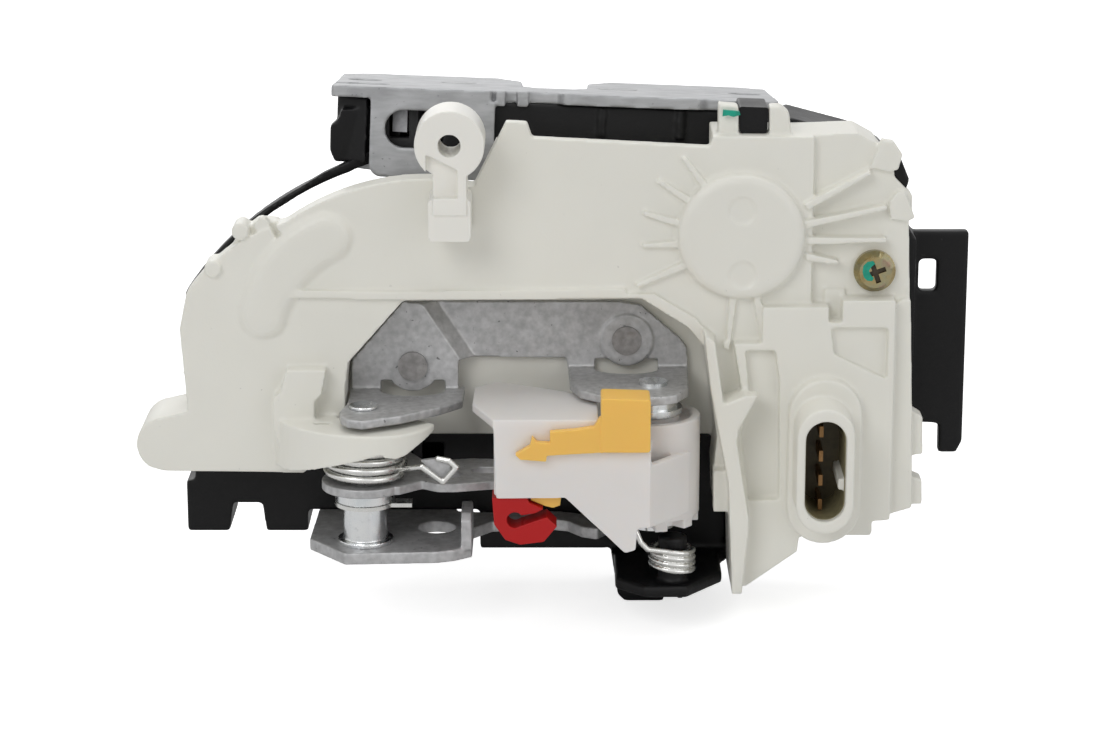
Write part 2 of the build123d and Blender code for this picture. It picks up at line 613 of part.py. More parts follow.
# black base behind the cover
with BuildPart() as actuator_base:
    with BuildSketch(front_plane(base_back_y)):
        Polygon(*reversed(shoulder), (-74.6, -28), (-76.4, -28), (-76.4, -39), (-67.6, -39), (-66.8, -32.8),
                (-60.8, -32.8), (-60, -39), (-51.3, -39), (-51.3, lower_bracket_top), (-15.6, lower_bracket_top),
                (-15.6, -42.7), (11.6, -42.7), (13.1, -52.3), (14.6, -53.7), (22.5, -53.7), (23, -51.9),
                (24.8, -51.5), (25.5, -53.2), (26.7, -53.2), (26.9, -51.2), (35.8, -44.4), (48.6, -36),
                (63.4, -33.6), (66, -29.4), (71.4, -28.2), (72.6, -24), (83.8, -24), (85.0, -21.5), (85.0, 23.3),
                (73.3, 23.3), (70.6, 27.4), (69.6, 31.5), (71.6, 35.7), (66.4, 41.4), (60, 44.8), (47.2, 48.2),
                (45.2, 46.0), (45.2, 34.0), (-15.6, 36.0), align=None)
    extrude(amount=base_back_y - parting_y)
    # main hollow, the thin flange on the right and the arch of the feet
    with BuildSketch(front_plane(parting_y)):
        Polygon((-67.0, 7.8), (-72.0, -2.0), (-72.4, -29.6), (-53.4, -29.6), (-53.4, -32.2), (-13.4, -32.2), (-13.4, -40.6),
                (13.0, -40.6), (26.3, -42.2), (34.8, -42.2), (47.8, -34), (62.2, -31.6), (64.8, -27.4),
                (70.8, -26.0), (70.8, 25.6), (67.6, 30.6), (69.4, 35.3), (65.2, 39.8), (59.4, 42.8),
                (47.2, 46.0), (47.2, 31.6), (-13.8, 32.6), (-16.9, 27.5), (-32.7, 26.2), (-45.8, 22.4), (-57.5, 15.9),
                align=None)
    extrude(amount=-(base_back_y - parting_y - base_wall), mode=Mode.SUBTRACT)
    with BuildSketch(front_plane(parting_y)):
        Rectangle(400, 400)
        Polygon((73.4, -100), (73.4, 60), (-100, 60), (-100, -100), align=None, mode=Mode.SUBTRACT)
    extrude(amount=-7.0, mode=Mode.SUBTRACT)
    with BuildSketch(front_plane(base_back_y)):
        Rectangle(400, 400)
        Polygon((73.4, -100), (73.4, 60), (-100, 60), (-100, -100), align=None, mode=Mode.SUBTRACT)
    extrude(amount=6.5, mode=Mode.SUBTRACT)
    with BuildSketch(front_plane(base_back_y)):
        Polygon((74.9, 10.7), (78.6, 10.7), (78.6, 17.4), (74.9, 17.4), align=None)
        Polygon((73.6, -17.3), (80.0, -17.7), (80.1, -25), (73.6, -25), align=None)
    extrude(amount=30, mode=Mode.SUBTRACT)
    # apron that closes the hollow where the cover does not reach
    with BuildSketch(front_plane(parting_y + base_wall)):
        Polygon((-73, -22.6), (-73, -30), (-67, -32.4), (-52, -33.5), (-15, -33.5), (-15, -42), (12.4, -42),
                (35, -43.4), (35.5, -29.5), (34, -19.6), (33.4, -17.6), (-36.0, -17.6), (-42.8, -12.8),
                (-49.0, -19.8), (-50.2, -21.4), align=None)
    extrude(amount=base_wall)
    # shelf and post of the return spring
    with BuildSketch(front_plane(parting_y)):
        Polygon((11.6, -42.7), (13.1, -52.3), (14.6, -53.7), (22.5, -53.7), (23, -51.9), (24.8, -51.5),
                (25.5, -53.2), (26.7, -53.2), (26.9, -51.2), (35.8, -44.4), (35.0, -42.7), align=None)
    extrude(amount=2.0)
    with BuildSketch(level_plane(-53.8)):
        Polygon((15.6, 16.2), (33, 16.2), (33, 29.6), (15.6, 29.6), align=None)
    extrude(amount=8.8, mode=Mode.SUBTRACT)
    with BuildSketch(level_plane(-45.2)):
        Polygon((12.2, parting_y), (12.2, -3), (18, -8.6), (26.5, -8.6), (34.0, 1), (34.0, parting_y), align=None)
    extrude(amount=2.4)
    with BuildSketch(level_plane(-43.0, 23.7, -3.6)):
        Circle(2.9)
    extrude(amount=9.6)
    # thin arc strip at the upper left
    with BuildSketch(front_plane(22.0)):
        with BuildLine():
            arc_low = ThreePointArc((-74.2, 11.0), (-57.0, 28.6), (-35.2, 38.6))
            arc_end = Line((-35.2, 38.6), (-35.0, 39.9))
            arc_top = ThreePointArc((-35.0, 39.9), (-57.9, 29.7), (-75.6, 11.6))
            arc_tip = Polyline((-75.6, 11.6), (-75.6, -6), (-74.0, -6), (-74.2, 11.0))
        make_face()
    extrude(amount=4.0)
    with BuildSketch(front_plane(parting_y + 6)):
        Polygon((-75.6, 0), (-75.6, -10), (-72.6, -10), (-72.6, -2), (-74.2, 0), align=None)
    extrude(amount=6)
    # window for the tail of the release lever and the opening for the link
    with BuildSketch(front_plane(parting_y + base_wall + 1)):
        Polygon((-39.5, -19.8), (-23.0, -19.8), (-23.0, -24.2), (-39.5, -24.2), align=None)
    extrude(amount=base_wall + 2, mode=Mode.SUBTRACT)
    with BuildSketch(level_plane(20)):
        Polygon((link_bay_left - 0.6, parting_y - 1), (link_bay_right, parting_y - 1), (link_bay_right, 22.2),
                (link_bay_left - 0.6, 22.2), align=None)
    extrude(amount=30, mode=Mode.SUBTRACT)
    # posts inside
    with BuildSketch(front_plane(base_back_y - 1, screw_x, screw_z)):
        Circle(3.2)
    extrude(amount=base_back_y - parting_y - 1)
    with BuildSketch(front_plane(parting_y + 8, screw_x, screw_z)):
        Circle(1.5)
    extrude(amount=9, mode=Mode.SUBTRACT)
    with BuildSketch(front_plane(base_back_y - 1)):
        with Locations((-60, 0), (-10, -10), (12, 22)):
            Circle(3.0)
            Rectangle(14, 1.2)
            Rectangle(1.2, 14)
    extrude(amount=base_back_y - parting_y - 1.3)
    with BuildSketch(level_plane(lower_bracket_top - 1)):
        for screw_spot in ((-42.5, 20.2), (-27.0, 20.2)):
            with Locations(screw_spot):
                Circle(1.9 + press_gap)
    extrude(amount=3.4, mode=Mode.SUBTRACT)
    # seat of the latch
    with BuildSketch(plate_level(stack_bottom)):
        Polygon((-plate_half_length - 1, -24.5), (plate_half_length + 1.2, -24.5), (plate_half_length + 1.2, 30),
                (-plate_half_length - 1, 30), align=None)
    extrude(amount=40, mode=Mode.SUBTRACT)
actuator_base.part.label = "actuator_base"
export_step(actuator_base.part, "parts/actuator_base.step")

# steel bracket in the niche, folded flanges carry the two upright pins
rivet_left = (-28.9, -1.8)
rivet_right = (14.6, 2.8)
with BuildPart() as lever_bracket:
    with BuildSketch(front_plane(bracket_left_y + steel)):
        Polygon((-30.7, 11.8), (-41.2, -0.6), (-41.5, left_flange_top), (-19.7, left_flange_top), (-17.3, 0.1),
                (-28.3, 11.6), align=None)
    extrude(amount=steel)
    with BuildSketch(front_plane(bracket_right_y + steel)):
        Polygon((-28.6, 11.5), (-17.6, -0.2), (-15.7, -0.7), (-26.4, 11.2), align=None)
    extrude(amount=bracket_right_y + steel - bracket_left_y)
    with BuildSketch(front_plane(bracket_right_y + steel)):
        Polygon((-26.8, 11.2), (13.2, 10.8), (17.3, 10.2), (27.1, 1.8), (27.2, right_flange_top),
                (2.7, right_flange_top), (2.2, -0.9), (-16.2, -0.7), align=None)
    extrude(amount=steel)
    with BuildSketch(level_plane(left_flange_top - steel)):
        with BuildLine():
            FilletPolyline((-41.5, bracket_left_y + steel), (-41.6, -1.0), (-42.8, -7.5), (-41.3, -12.6), (-37.9, -14.4),
                           (-30.6, -10.4), (-22.9, -3.9), (-18.6, 1.3), (-18.4, bracket_left_y + steel),
                           radius=1.2, close=True)
        make_face()
        with Locations((-28.9, bracket_left_y)):
            Circle(3.4, mode=Mode.SUBTRACT)
        with Locations((lever_x, lever_y)):
            Circle(2.2 + press_gap, mode=Mode.SUBTRACT)
    extrude(amount=steel)
    with BuildSketch(level_plane(right_flange_top - steel)):
        with BuildLine():
            FilletPolyline((2.7, bracket_right_y + steel), (3.0, 1.1), (5.0, -4.9), (8.9, -8.6), (16.7, -10.9),
                           (23.7, -9.4), (26.6, -3.4), (27.2, bracket_right_y + steel), radius=1.2, close=True)
        make_face()
        with Locations((13.8, bracket_right_y)):
            Circle(3.0, mode=Mode.SUBTRACT)
        with Locations((cam_x, cam_y)):
            Circle(2.2 + press_gap, mode=Mode.SUBTRACT)
    extrude(amount=steel)
    with BuildSketch(front_plane(parting_y)):
        with Locations(rivet_left, rivet_right):
            Circle(1.9 + press_gap)
    extrude(amount=10, mode=Mode.SUBTRACT)
lever_bracket.part.label = "lever_bracket"
export_step(lever_bracket.part, "parts/lever_bracket.step")

with BuildPart() as bracket_rivets:
    for spot, face_y in ((rivet_left, bracket_left_y), (rivet_right, bracket_right_y)):
        with BuildSketch(front_plane(floor_y, spot[0], spot[1])):
            Circle(1.9)
        extrude(amount=floor_y - face_y)
        with BuildSketch(front_plane(face_y, spot[0], spot[1])):
            Circle(3.0)
        extrude(amount=0.8)
bracket_rivets.part.label = "bracket_rivets"
export_step(bracket_rivets.part, "parts/bracket_rivets.step")

# lower steel bracket that holds the foot of the lever pin
with BuildPart() as lower_bracket:
    with BuildSketch(level_plane(lower_bracket_top - lower_bracket_thick)):
        with BuildLine():
            FilletPolyline((-49.5, -3.0), (-48.8, 24.0), (-22.0, 24.0), (-20.0, 15.4), (-11.4, 14.4), (1.0, 15.5),
                           (8.0, 12.6), (10.6, 6.6), (8.6, 3.4), (5.4, 5.0), (2.6, 8.8), (-2.3, 10.4),
                           (-12.9, 8.5), (-16.6, 4.0), (-16.6, -7.8), (-20.0, -10.4), (-23.5, -11.7),
                           (-41.8, -12.8), radius=0.8, close=True)
        make_face()
        with Locations((-24.1, 4.6)):
            Circle(bracket_hole_r, mode=Mode.SUBTRACT)
        with Locations((lever_x, lever_y)):
            Circle(2.6 + press_gap, mode=Mode.SUBTRACT)
        with Locations((-42.5, 20.2), (-27.0, 20.2)):
            Circle(1.9 + press_gap, mode=Mode.SUBTRACT)
    extrude(amount=lower_bracket_thick)
    with BuildSketch(side_plane(-18.8)):
        Polygon((-9.2, lower_bracket_top - 0.5), (3.6, lower_bracket_top - 0.5), (3.6, -29.8), (0.8, -27.6),
                (-7.0, -27.6), (-8.6, -29.0), align=None)
    extrude(amount=2.2)
lower_bracket.part.label = "lower_bracket"
export_step(lower_bracket.part, "parts/lower_bracket.step")

with BuildPart() as lower_bracket_screws:
    for rivet_x in (-42.5, -27.0):
        with BuildSketch(level_plane(lower_bracket_top - lower_bracket_thick, rivet_x, 20.2)):
            Circle(1.9)
        extrude(amount=lower_bracket_thick + 1.9)
        with BuildSketch(level_plane(lower_bracket_top - lower_bracket_thick, rivet_x, 20.2)):
            Circle(3.6)
        extrude(amount=-1.4)
lower_bracket_screws.part.label = "lower_bracket_screws"
export_step(lower_bracket_screws.part, "parts/lower_bracket_screws.step")

# upright pins, each riveted through a flange of the bracket
collar_top = lever_top - lever_thick - move_gap
collar_thick = 2.3
with BuildPart() as lever_pin:
    with BuildSketch(level_plane(lower_bracket_top - lower_bracket_thick, lever_x, lever_y)):
        Circle(2.6)
    extrude(amount=lower_bracket_thick)
    with BuildSketch(level_plane(lower_bracket_top, lever_x, lever_y)):
        Circle(5.15)
    extrude(amount=0.8)
    with BuildSketch(level_plane(lower_bracket_top, lever_x, lever_y)):
        Circle(3.8)
    extrude(amount=collar_top - collar_thick - lower_bracket_top)
    with BuildSketch(level_plane(collar_top, lever_x, lever_y)):
        Circle(5.4)
    extrude(amount=-collar_thick)
    with BuildSketch(level_plane(collar_top, lever_x, lever_y)):
        Circle(lever_shaft_r)
    extrude(amount=left_flange_top - steel - collar_top)
    with BuildSketch(level_plane(left_flange_top - steel, lever_x, lever_y)):
        Circle(2.2)
    extrude(amount=steel)
    with BuildSketch(level_plane(left_flange_top, lever_x, lever_y)):
        Circle(2.9)
    extrude(amount=0.7)
lever_pin.part.label = "lever_pin"
export_step(lever_pin.part, "parts/lever_pin.step")

with BuildPart() as lever_clip:
    with BuildSketch(level_plane(collar_top - collar_thick - 0.8, lever_x, lever_y)):
        Circle(6.1)
        with Locations((7.0, -1.2)):
            Rectangle(5.0, 3.4)
        Circle(3.8 + press_gap, mode=Mode.SUBTRACT)
        with Locations((-6, 1)):
            Rectangle(8, 2.6, mode=Mode.SUBTRACT)
    extrude(amount=0.8)
lever_clip.part.label = "lever_clip"
export_step(lever_clip.part, "parts/lever_clip.step")

cam_pin_head = 0.9
with BuildPart() as cam_pin:
    with BuildSketch(level_plane(cam_hub_bottom - move_gap - cam_pin_head, cam_x, cam_y)):
        Circle(4.6)
    extrude(amount=cam_pin_head)
    with BuildSketch(level_plane(cam_hub_bottom - move_gap, cam_x, cam_y)):
        Circle(cam_pin_r)
    extrude(amount=right_flange_top - steel - cam_hub_bottom + move_gap)
    with BuildSketch(level_plane(right_flange_top - steel, cam_x, cam_y)):
        Circle(2.2)
    extrude(amount=steel)
    with BuildSketch(level_plane(right_flange_top, cam_x, cam_y)):
        Circle(2.9)
    extrude(amount=0.7)
cam_pin.part.label = "cam_pin"
export_step(cam_pin.part, "parts/cam_pin.step")

with BuildPart() as cam_bushing:
    with BuildSketch(level_plane(cam_hub_top + move_gap, cam_x, cam_y)):
        Circle(4.9)
    extrude(amount=right_flange_top - steel - cam_hub_top - move_gap)
    with BuildSketch(level_plane(cam_hub_top + move_gap, cam_x, cam_y)):
        Circle(5.85)
    extrude(amount=1.3)
    with BuildSketch(level_plane(right_flange_top - steel, cam_x, cam_y)):
        Circle(5.85)
    extrude(amount=-1.0)
    with BuildSketch(level_plane(0, cam_x, cam_y)):
        Circle(cam_pin_r + press_gap)
    extrude(amount=-12, mode=Mode.SUBTRACT)
cam_bushing.part.label = "cam_bushing"
export_step(cam_bushing.part, "parts/cam_bushing.step")

# steel lever on the left pin, its tail reaches back to the link
with BuildPart() as release_lever:
    with BuildSketch(level_plane(lever_top - lever_thick)):
        with Locations((lever_x, lever_y)):
            Circle(8.6)
        with BuildLine():
            FilletPolyline((-40.0, 2.0), (-33.4, 14.0), (-33.0, 21.0), (-30.0, 21.0), (-29.6, 14.0), (-26.5, 7.6),
                           (-17, 9.5), (1.0, 8.2), (1.0, -6.8), (-13.0, -6.8), (-19.8, -8.6), (-23.4, -8.6),
                           (-26.5, -6.4), (-31, -10.5), (-38.1, -9.6), radius=0.7, close=True)
        make_face()
        with Locations((lever_x, lever_y)):
            Circle(lever_shaft_r + fit_gap, mode=Mode.SUBTRACT)
        with Locations((-22.4, -2.0)):
            SlotOverall(7.4, 5.2, rotation=20, mode=Mode.SUBTRACT)
        with Locations((-13.6, 1.2)):
            SlotOverall(6.6, 4.2, mode=Mode.SUBTRACT)
    extrude(amount=lever_thick)
release_lever.part.label = "release_lever"
export_step(release_lever.part, "parts/release_lever.step")

spring_wire = 1.6
with BuildPart() as release_spring:
    with BuildLine(level_plane(lever_top + spring_wire / 2 + 2 * move_gap, lever_x, lever_y, -60)) as return_path:
        return_coil = Helix(pitch=1.75, height=6.2, radius=7.5, lefthand=True)
        return_hook = FilletPolyline(return_coil @ 0,
                                     (return_coil @ 0) - (return_coil % 0) * 11.5,
                                     (return_coil @ 0) - (return_coil % 0) * 12.5 + Vector(-2.6, -4.4, 0),
                                     radius=1.3)
    with BuildSketch(Plane(origin=return_path.line @ 0, z_dir=return_path.line % 0)):
        Circle(spring_wire / 2)
    sweep(is_frenet=True)
release_spring.part.label = "release_spring"
export_step(release_spring.part, "parts/release_spring.step")

# upright link between the lever and the pawl, forked at both ends
link_low = lever_top - lever_thick - 1.6
link_high = 50.3
with BuildPart() as release_link:
    with BuildSketch(front_plane(link_y + link_thick)):
        with BuildLine():
            FilletPolyline((link_x - 4, link_low), (link_x + 4, link_low), (link_x + 4, -16), (link_x + 2.6, -13),
                           (link_x + 2.6, 36.5), (link_x + 4, 39.5), (link_x + 4, link_high),
                           (link_x - 4, link_high), (link_x - 4, 39.5), (link_x - 2.6, 36.5),
                           (link_x - 2.6, -13), (link_x - 4, -16), radius=0.6, close=True)
        make_face()
        with Locations((link_x, link_high - 3.0)):
            Rectangle(4.0, 7.6, mode=Mode.SUBTRACT)
        with Locations((link_x, link_low + 1.4)):
            Rectangle(4.2, 5.2, mode=Mode.SUBTRACT)
    extrude(amount=link_thick)
release_link.part.label = "release_link"
export_step(release_link.part, "parts/release_link.step")

# white cam that the handle cable turns
with BuildPart() as handle_cam:
    with BuildSketch(front_plane(cam_panel_y + cam_wall)):
        with BuildLine():
            FilletPolyline((-12.1, cam_plate_top), (-11.6, -21.4), (2.0, -21.2), (13.8, -32.6), (15.9, -32.0),
                           (16.2, -27.6), (18.8, -27.4), (18.8, -11.8), (8.4, -11.8), (8.4, cam_plate_top),
                           radius=0.6, close=True)
        make_face()
    extrude(amount=cam_wall)
    with BuildSketch(level_plane(cam_plate_top - 1.8)):
        with BuildLine():
            FilletPolyline((8.4, cam_panel_y), (8.4, -0.9), (2.2, 3.2), (-11.5, 11.0), (-16.2, 6.6), (-16.4, -6.1),
                           (-12.1, cam_panel_y), radius=0.6, close=True)
        make_face()
    extrude(amount=1.8)
    with BuildSketch(level_plane(cam_plate_top - 1.0)):
        Polygon((-16.1, 6.2), (-11.5, 10.7), (1.6, 3.4), (1.0, 1.8), (-11.2, 8.6), (-14.9, 4.9), align=None)
    extrude(amount=4.6)
    with BuildSketch(side_plane(-18)):
        Polygon((0, -2.8), (0, 2), (14, 2), (14, -1.0), (10, -1.0), (3, -3.6), align=None)
    extrude(amount=22, mode=Mode.SUBTRACT)
    with BuildSketch(level_plane(cam_shelf_top - cam_wall)):
        Polygon((-11.9, cam_panel_y + 1), (-11.9, -4.0), (9.5, 2.0), (cam_x, cam_y), (18.8, cam_panel_y + 1),
                align=None)
    extrude(amount=cam_wall)
    with BuildSketch(level_plane(-20.8)):
        Polygon((-12.0, cam_panel_y + 1), (-12.0, -4.0), (-10.2, -3.5), (-10.2, cam_panel_y + 1), align=None)
        Polygon((17.0, cam_panel_y + 1), (18.8, cam_panel_y + 1), (18.8, -8), (17.0, -8), align=None)
    extrude(amount=20.8 + cam_shelf_top)
    with BuildSketch(level_plane(cam_shelf_top - 1)):
        Polygon((-12.0, cam_panel_y + 1), (-12.0, -4.0), (-10.2, -3.5), (-10.2, cam_panel_y + 1), align=None)
        Polygon((6.6, cam_panel_y + 1), (8.4, cam_panel_y + 1), (8.4, -1.2), (6.6, -1.2), align=None)
    extrude(amount=cam_plate_top - cam_shelf_top)
    with BuildSketch(level_plane(-27.4)):
        Polygon((17.0, cam_panel_y + 1), (18.8, cam_panel_y + 1), (18.8, -8), (17.0, -8), align=None)
    extrude(amount=8)
    with BuildSketch(level_plane(cam_hub_bottom + 2.0, cam_x, cam_y)):
        Circle(cam_hub_r)
    extrude(amount=cam_hub_top - cam_hub_bottom - 2.0)
    with BuildSketch(level_plane(cam_hub_bottom, cam_x, cam_y)):
        Circle(6.4)
        with PolarLocations(7.6, 9):
            Rectangle(3.4, 2.6)
    extrude(amount=3.0)
    with BuildSketch(level_plane(-10, cam_x, cam_y)):
        Circle(cam_hub_r - 1.8)
        Circle(cam_pin_r + 1.9, mode=Mode.SUBTRACT)
    extrude(amount=3, mode=Mode.SUBTRACT)
    with BuildSketch(level_plane(cam_hub_bottom - 1, cam_x, cam_y)):
        Circle(cam_pin_r + fit_gap)
    extrude(amount=cam_hub_top - cam_hub_bottom + 2, mode=Mode.SUBTRACT)
    with BuildSketch(level_plane(cam_shelf_top - 1, -5.0, -9.1)):
        Circle(1.5)
    extrude(amount=-10.8)
handle_cam.part.label = "handle_cam"
export_step(handle_cam.part, "parts/handle_cam.step")

# yellow pull-off clip that holds the cam until the latch is fitted
with BuildPart() as transport_clip:
    with BuildSketch(front_plane(-12.4)):
        with BuildLine():
            FilletPolyline((8.9, -0.4), (9.1, -11.3), (18.6, -11.3), (18.6, -0.7), radius=0.6, close=True)
        make_face()
    extrude(amount=7.8)
    with BuildSketch(front_plane(-12.4 + 1)):
        with Locations((13.8, -6.2)):
            Rectangle(6.2, 5.0)
    extrude(amount=5.8, mode=Mode.SUBTRACT)
    with BuildSketch(front_plane(cam_panel_y)):
        Polygon((9.6, -6.0), (-1.0, -7.3), (-1.9, -9.8), (-4.1, -8.3), (-5.3, -10.9), (-8.0, -11.9), (-1.6, -12.9),
                (5.6, -12.1), (9.6, -11.4), align=None)
    extrude(amount=1.8)
transport_clip.part.label = "transport_clip"
export_step(transport_clip.part, "parts/transport_clip.step")

# red hook for the end of the inside-handle cable, with its yellow keeper
with BuildPart() as cable_hook:
    with BuildSketch(front_plane(-11.2)):
        with BuildLine():
            FilletPolyline((-12.3, -22.0), (-12.3, -27.6), (-10.6, -31.0), (-8.4, -31.7), (-3.0, -31.5),
                           (0.4, -28.2), (-0.2, -26.5), (-2.6, -24.9), (-2.0, -22.0), radius=0.8, close=True)
        make_face()
        Polygon((-7.2, -25.6), (6, -25.6), (6, -23.3), (-7.2, -23.3), align=None, mode=Mode.SUBTRACT)
        with Locations((-7.6, -26.0)):
            Circle(1.95, mode=Mode.SUBTRACT)
    extrude(amount=5.8)
    with BuildSketch(front_plane(-13.4)):
        with Locations((-6.4, -18.2)):
            Rectangle(7.2, 8.4)
    extrude(amount=2.6)
cable_hook.part.label = "cable_hook"
export_step(cable_hook.part, "parts/cable_hook.step")

with BuildPart() as cable_keeper:
    with BuildSketch(front_plane(-11.6)):
        Polygon((-2.0, -21.5), (-1.9, -24.2), (-0.6, -25.0), (0.9, -24.4), (1.5, -21.5), (1.5, -14.0), (-2.0, -14.0),
                align=None)
    extrude(amount=4.4)
cable_keeper.part.label = "cable_keeper"
export_step(cable_keeper.part, "parts/cable_keeper.step")

# return spring of the cam on its post
with BuildPart() as cam_spring:
    with BuildLine(level_plane(-41.2, 23.7, -3.6, 30)) as cam_path:
        cam_coil = Helix(pitch=1.9, height=7.6, radius=3.95)
        cam_leg = Line(cam_coil @ 1, (cam_coil @ 1) + (cam_coil % 1) * 6.5)
    with BuildSketch(Plane(origin=cam_path.line @ 0, z_dir=cam_path.line % 0)):
        Circle(0.65)
    sweep(is_frenet=True)
cam_spring.part.label = "cam_spring"
export_step(cam_spring.part, "parts/cam_spring.step")

# bright white eye lever of the lock rod
with BuildPart() as lock_lever:
    with BuildSketch(front_plane(-0.6)):
        with Locations((-20.4, 47.7)):
            Circle(6.8)
        Polygon((-23.7, 47), (-17.1, 47), (-17.1, 34), (-23.7, 34), align=None)
    extrude(amount=11.0)
    with BuildSketch(front_plane(-0.6)):
        with BuildLine():
            FilletPolyline((-24.6, 37.1), (-24.6, 28.6), (-16.4, 28.6), (-16.4, 37.1), radius=0.8, close=True)
        make_face()
    extrude(amount=10.4)
    with BuildSketch(front_plane(-0.6 - 9.0)):
        Polygon((-25, 46), (-25, 37.4), (-18.8, 37.4), (-18.8, 43), align=None)
    extrude(amount=3, mode=Mode.SUBTRACT)
    with BuildSketch(front_plane(1)):
        with Locations((-20.4, 47.7)):
            Circle(2.2)
    extrude(amount=14, mode=Mode.SUBTRACT)
    with BuildSketch(front_plane(-0.6)):
        with Locations((lock_x, lock_z)):
            Circle(lock_shaft_r + press_gap)
    extrude(amount=7.4, mode=Mode.SUBTRACT)
lock_lever.part.label = "lock_lever"
export_step(lock_lever.part, "parts/lock_lever.step")

crank_y = 3.1
with BuildPart() as lock_shaft:
    with BuildSketch(front_plane(crank_y + 2.2, lock_x, lock_z)):
        Circle(lock_shaft_r)
    extrude(amount=crank_y + 2.2 + 7.8)
lock_shaft.part.label = "lock_shaft"
export_step(lock_shaft.part, "parts/lock_shaft.step")

crank_turn = -13.24
with BuildPart() as lock_crank:
    with BuildSketch(front_plane(crank_y + 2.0, lock_x, lock_z, crank_turn)):
        Circle(4.2)
        Polygon((-3.0, 0), (-2.8, -12.0), (2.8, -12.0), (3.0, 0), align=None)
        with Locations((0, -9.6)):
            Rectangle(3.0, 6.4, mode=Mode.SUBTRACT)
        Circle(lock_shaft_r + press_gap, mode=Mode.SUBTRACT)
    extrude(amount=2.0)
lock_crank.part.label = "lock_crank"
export_step(lock_crank.part, "parts/lock_crank.step")

# toothed slide driven by the pinion of the worm wheel
slide_left = lock_x - 6.0
slide_right = 46.0
peg_x = lock_x - slide_travel / 2
with BuildPart() as lock_slide:
    with BuildSketch(front_plane(slide_y + slide_thick)):
        Polygon((slide_left, 18.8), (slide_right, 18.8), (slide_right, rack_line - 1.2), (-14, rack_line - 1.2),
                (-16, 24.6), (slide_left, 24.6), align=None)
        tooth_step = math.pi * gear_module
        for tooth in range(-3, 3):
            with Locations((drum_x + (tooth + 0.5) * tooth_step, rack_line)):
                Polygon((-0.95, -1.3), (-0.25, 0.65), (0.25, 0.65), (0.95, -1.3), align=None)
    extrude(amount=slide_thick)
    with BuildSketch(front_plane(slide_y + 1, peg_x, lock_z - lock_arm)):
        Circle(0.95)
    extrude(amount=slide_y + 1 - crank_y - 0.2)
lock_slide.part.label = "lock_slide"
export_step(lock_slide.part, "parts/lock_slide.step")

# worm wheel with its pinion, on a fixed axle
with BuildPart() as worm_wheel:
    with BuildSketch(front_plane(wheel_y + wheel_face, drum_x, drum_z)):
        Circle(wheel_r - 1.0)
        with PolarLocations(wheel_r - 1.0, wheel_teeth):
            Polygon((-0.4, -0.72), (1.65, -0.26), (1.65, 0.26), (-0.4, 0.72), align=None)
        Circle(2.0 + fit_gap, mode=Mode.SUBTRACT)
    extrude(amount=wheel_face)
    with BuildSketch(front_plane(wheel_y, drum_x, drum_z)):
        Circle(pinion_r - 1.0)
        with PolarLocations(pinion_r - 1.0, pinion_teeth, start_angle=270):
            Polygon((-0.4, -0.75), (1.65, -0.28), (1.65, 0.28), (-0.4, 0.75), align=None)
        Circle(2.0 + fit_gap, mode=Mode.SUBTRACT)
    extrude(amount=wheel_y - slide_y + 0.2)
worm_wheel.part.label = "worm_wheel"
export_step(worm_wheel.part, "parts/worm_wheel.step")

with BuildPart() as gear_axle:
    with BuildSketch(front_plane(parting_y + 1.2, drum_x, drum_z)):
        Circle(2.0)
    extrude(amount=parting_y + 2.2)
gear_axle.part.label = "gear_axle"
export_step(gear_axle.part, "parts/gear_axle.step")

# worm on the motor shaft
worm_start = drum_z - 3 * worm_lead
worm_turns = 6
with BuildPart() as worm:
    with BuildSketch(level_plane(worm_start - 1.2, worm_x, worm_y)):
        Circle(worm_r - 1.0)
    extrude(amount=worm_turns * worm_lead + 2.4)
    with BuildLine(level_plane(worm_start, worm_x, worm_y)) as worm_path:
        Helix(pitch=worm_lead, height=worm_turns * worm_lead, radius=worm_r - 1.1)
    with BuildSketch(Plane(origin=worm_path.line @ 0, x_dir=(1, 0, 0), z_dir=worm_path.line % 0)):
        Polygon((-0.15, -0.62), (1.65, -0.18), (1.65, 0.18), (-0.15, 0.62), align=None)
    sweep(is_frenet=True)
    with BuildSketch(level_plane(worm_start - 2, worm_x, worm_y)):
        Circle(1.0 + press_gap)
    extrude(amount=worm_turns * worm_lead + 4, mode=Mode.SUBTRACT)
worm.part.label = "worm"
export_step(worm.part, "parts/worm.step")

with BuildPart() as motor_shaft:
    with BuildSketch(level_plane(motor_top - 6, worm_x, worm_y)):
        Circle(1.0)
    extrude(amount=worm_start + worm_turns * worm_lead + 3.6 - motor_top + 6)
motor_shaft.part.label = "motor_shaft"
export_step(motor_shaft.part, "parts/motor_shaft.step")

with BuildPart() as motor_can:
    with BuildSketch(level_plane(motor_top - motor_length, worm_x, worm_y)):
        Circle(motor_r)
    extrude(amount=motor_length)
    with BuildSketch(level_plane(motor_top, worm_x, worm_y)):
        Circle(3.0)
    extrude(amount=1.2)
    with BuildSketch(level_plane(motor_top - motor_length - 1, worm_x, worm_y)):
        Circle(motor_r - 0.9)
    extrude(amount=motor_length - 1, mode=Mode.SUBTRACT)
    with BuildSketch(level_plane(motor_top + 2, worm_x, worm_y)):
        Circle(1.0 + fit_gap)
    extrude(amount=-8, mode=Mode.SUBTRACT)
motor_can.part.label = "motor_can"
export_step(motor_can.part, "parts/motor_can.step")

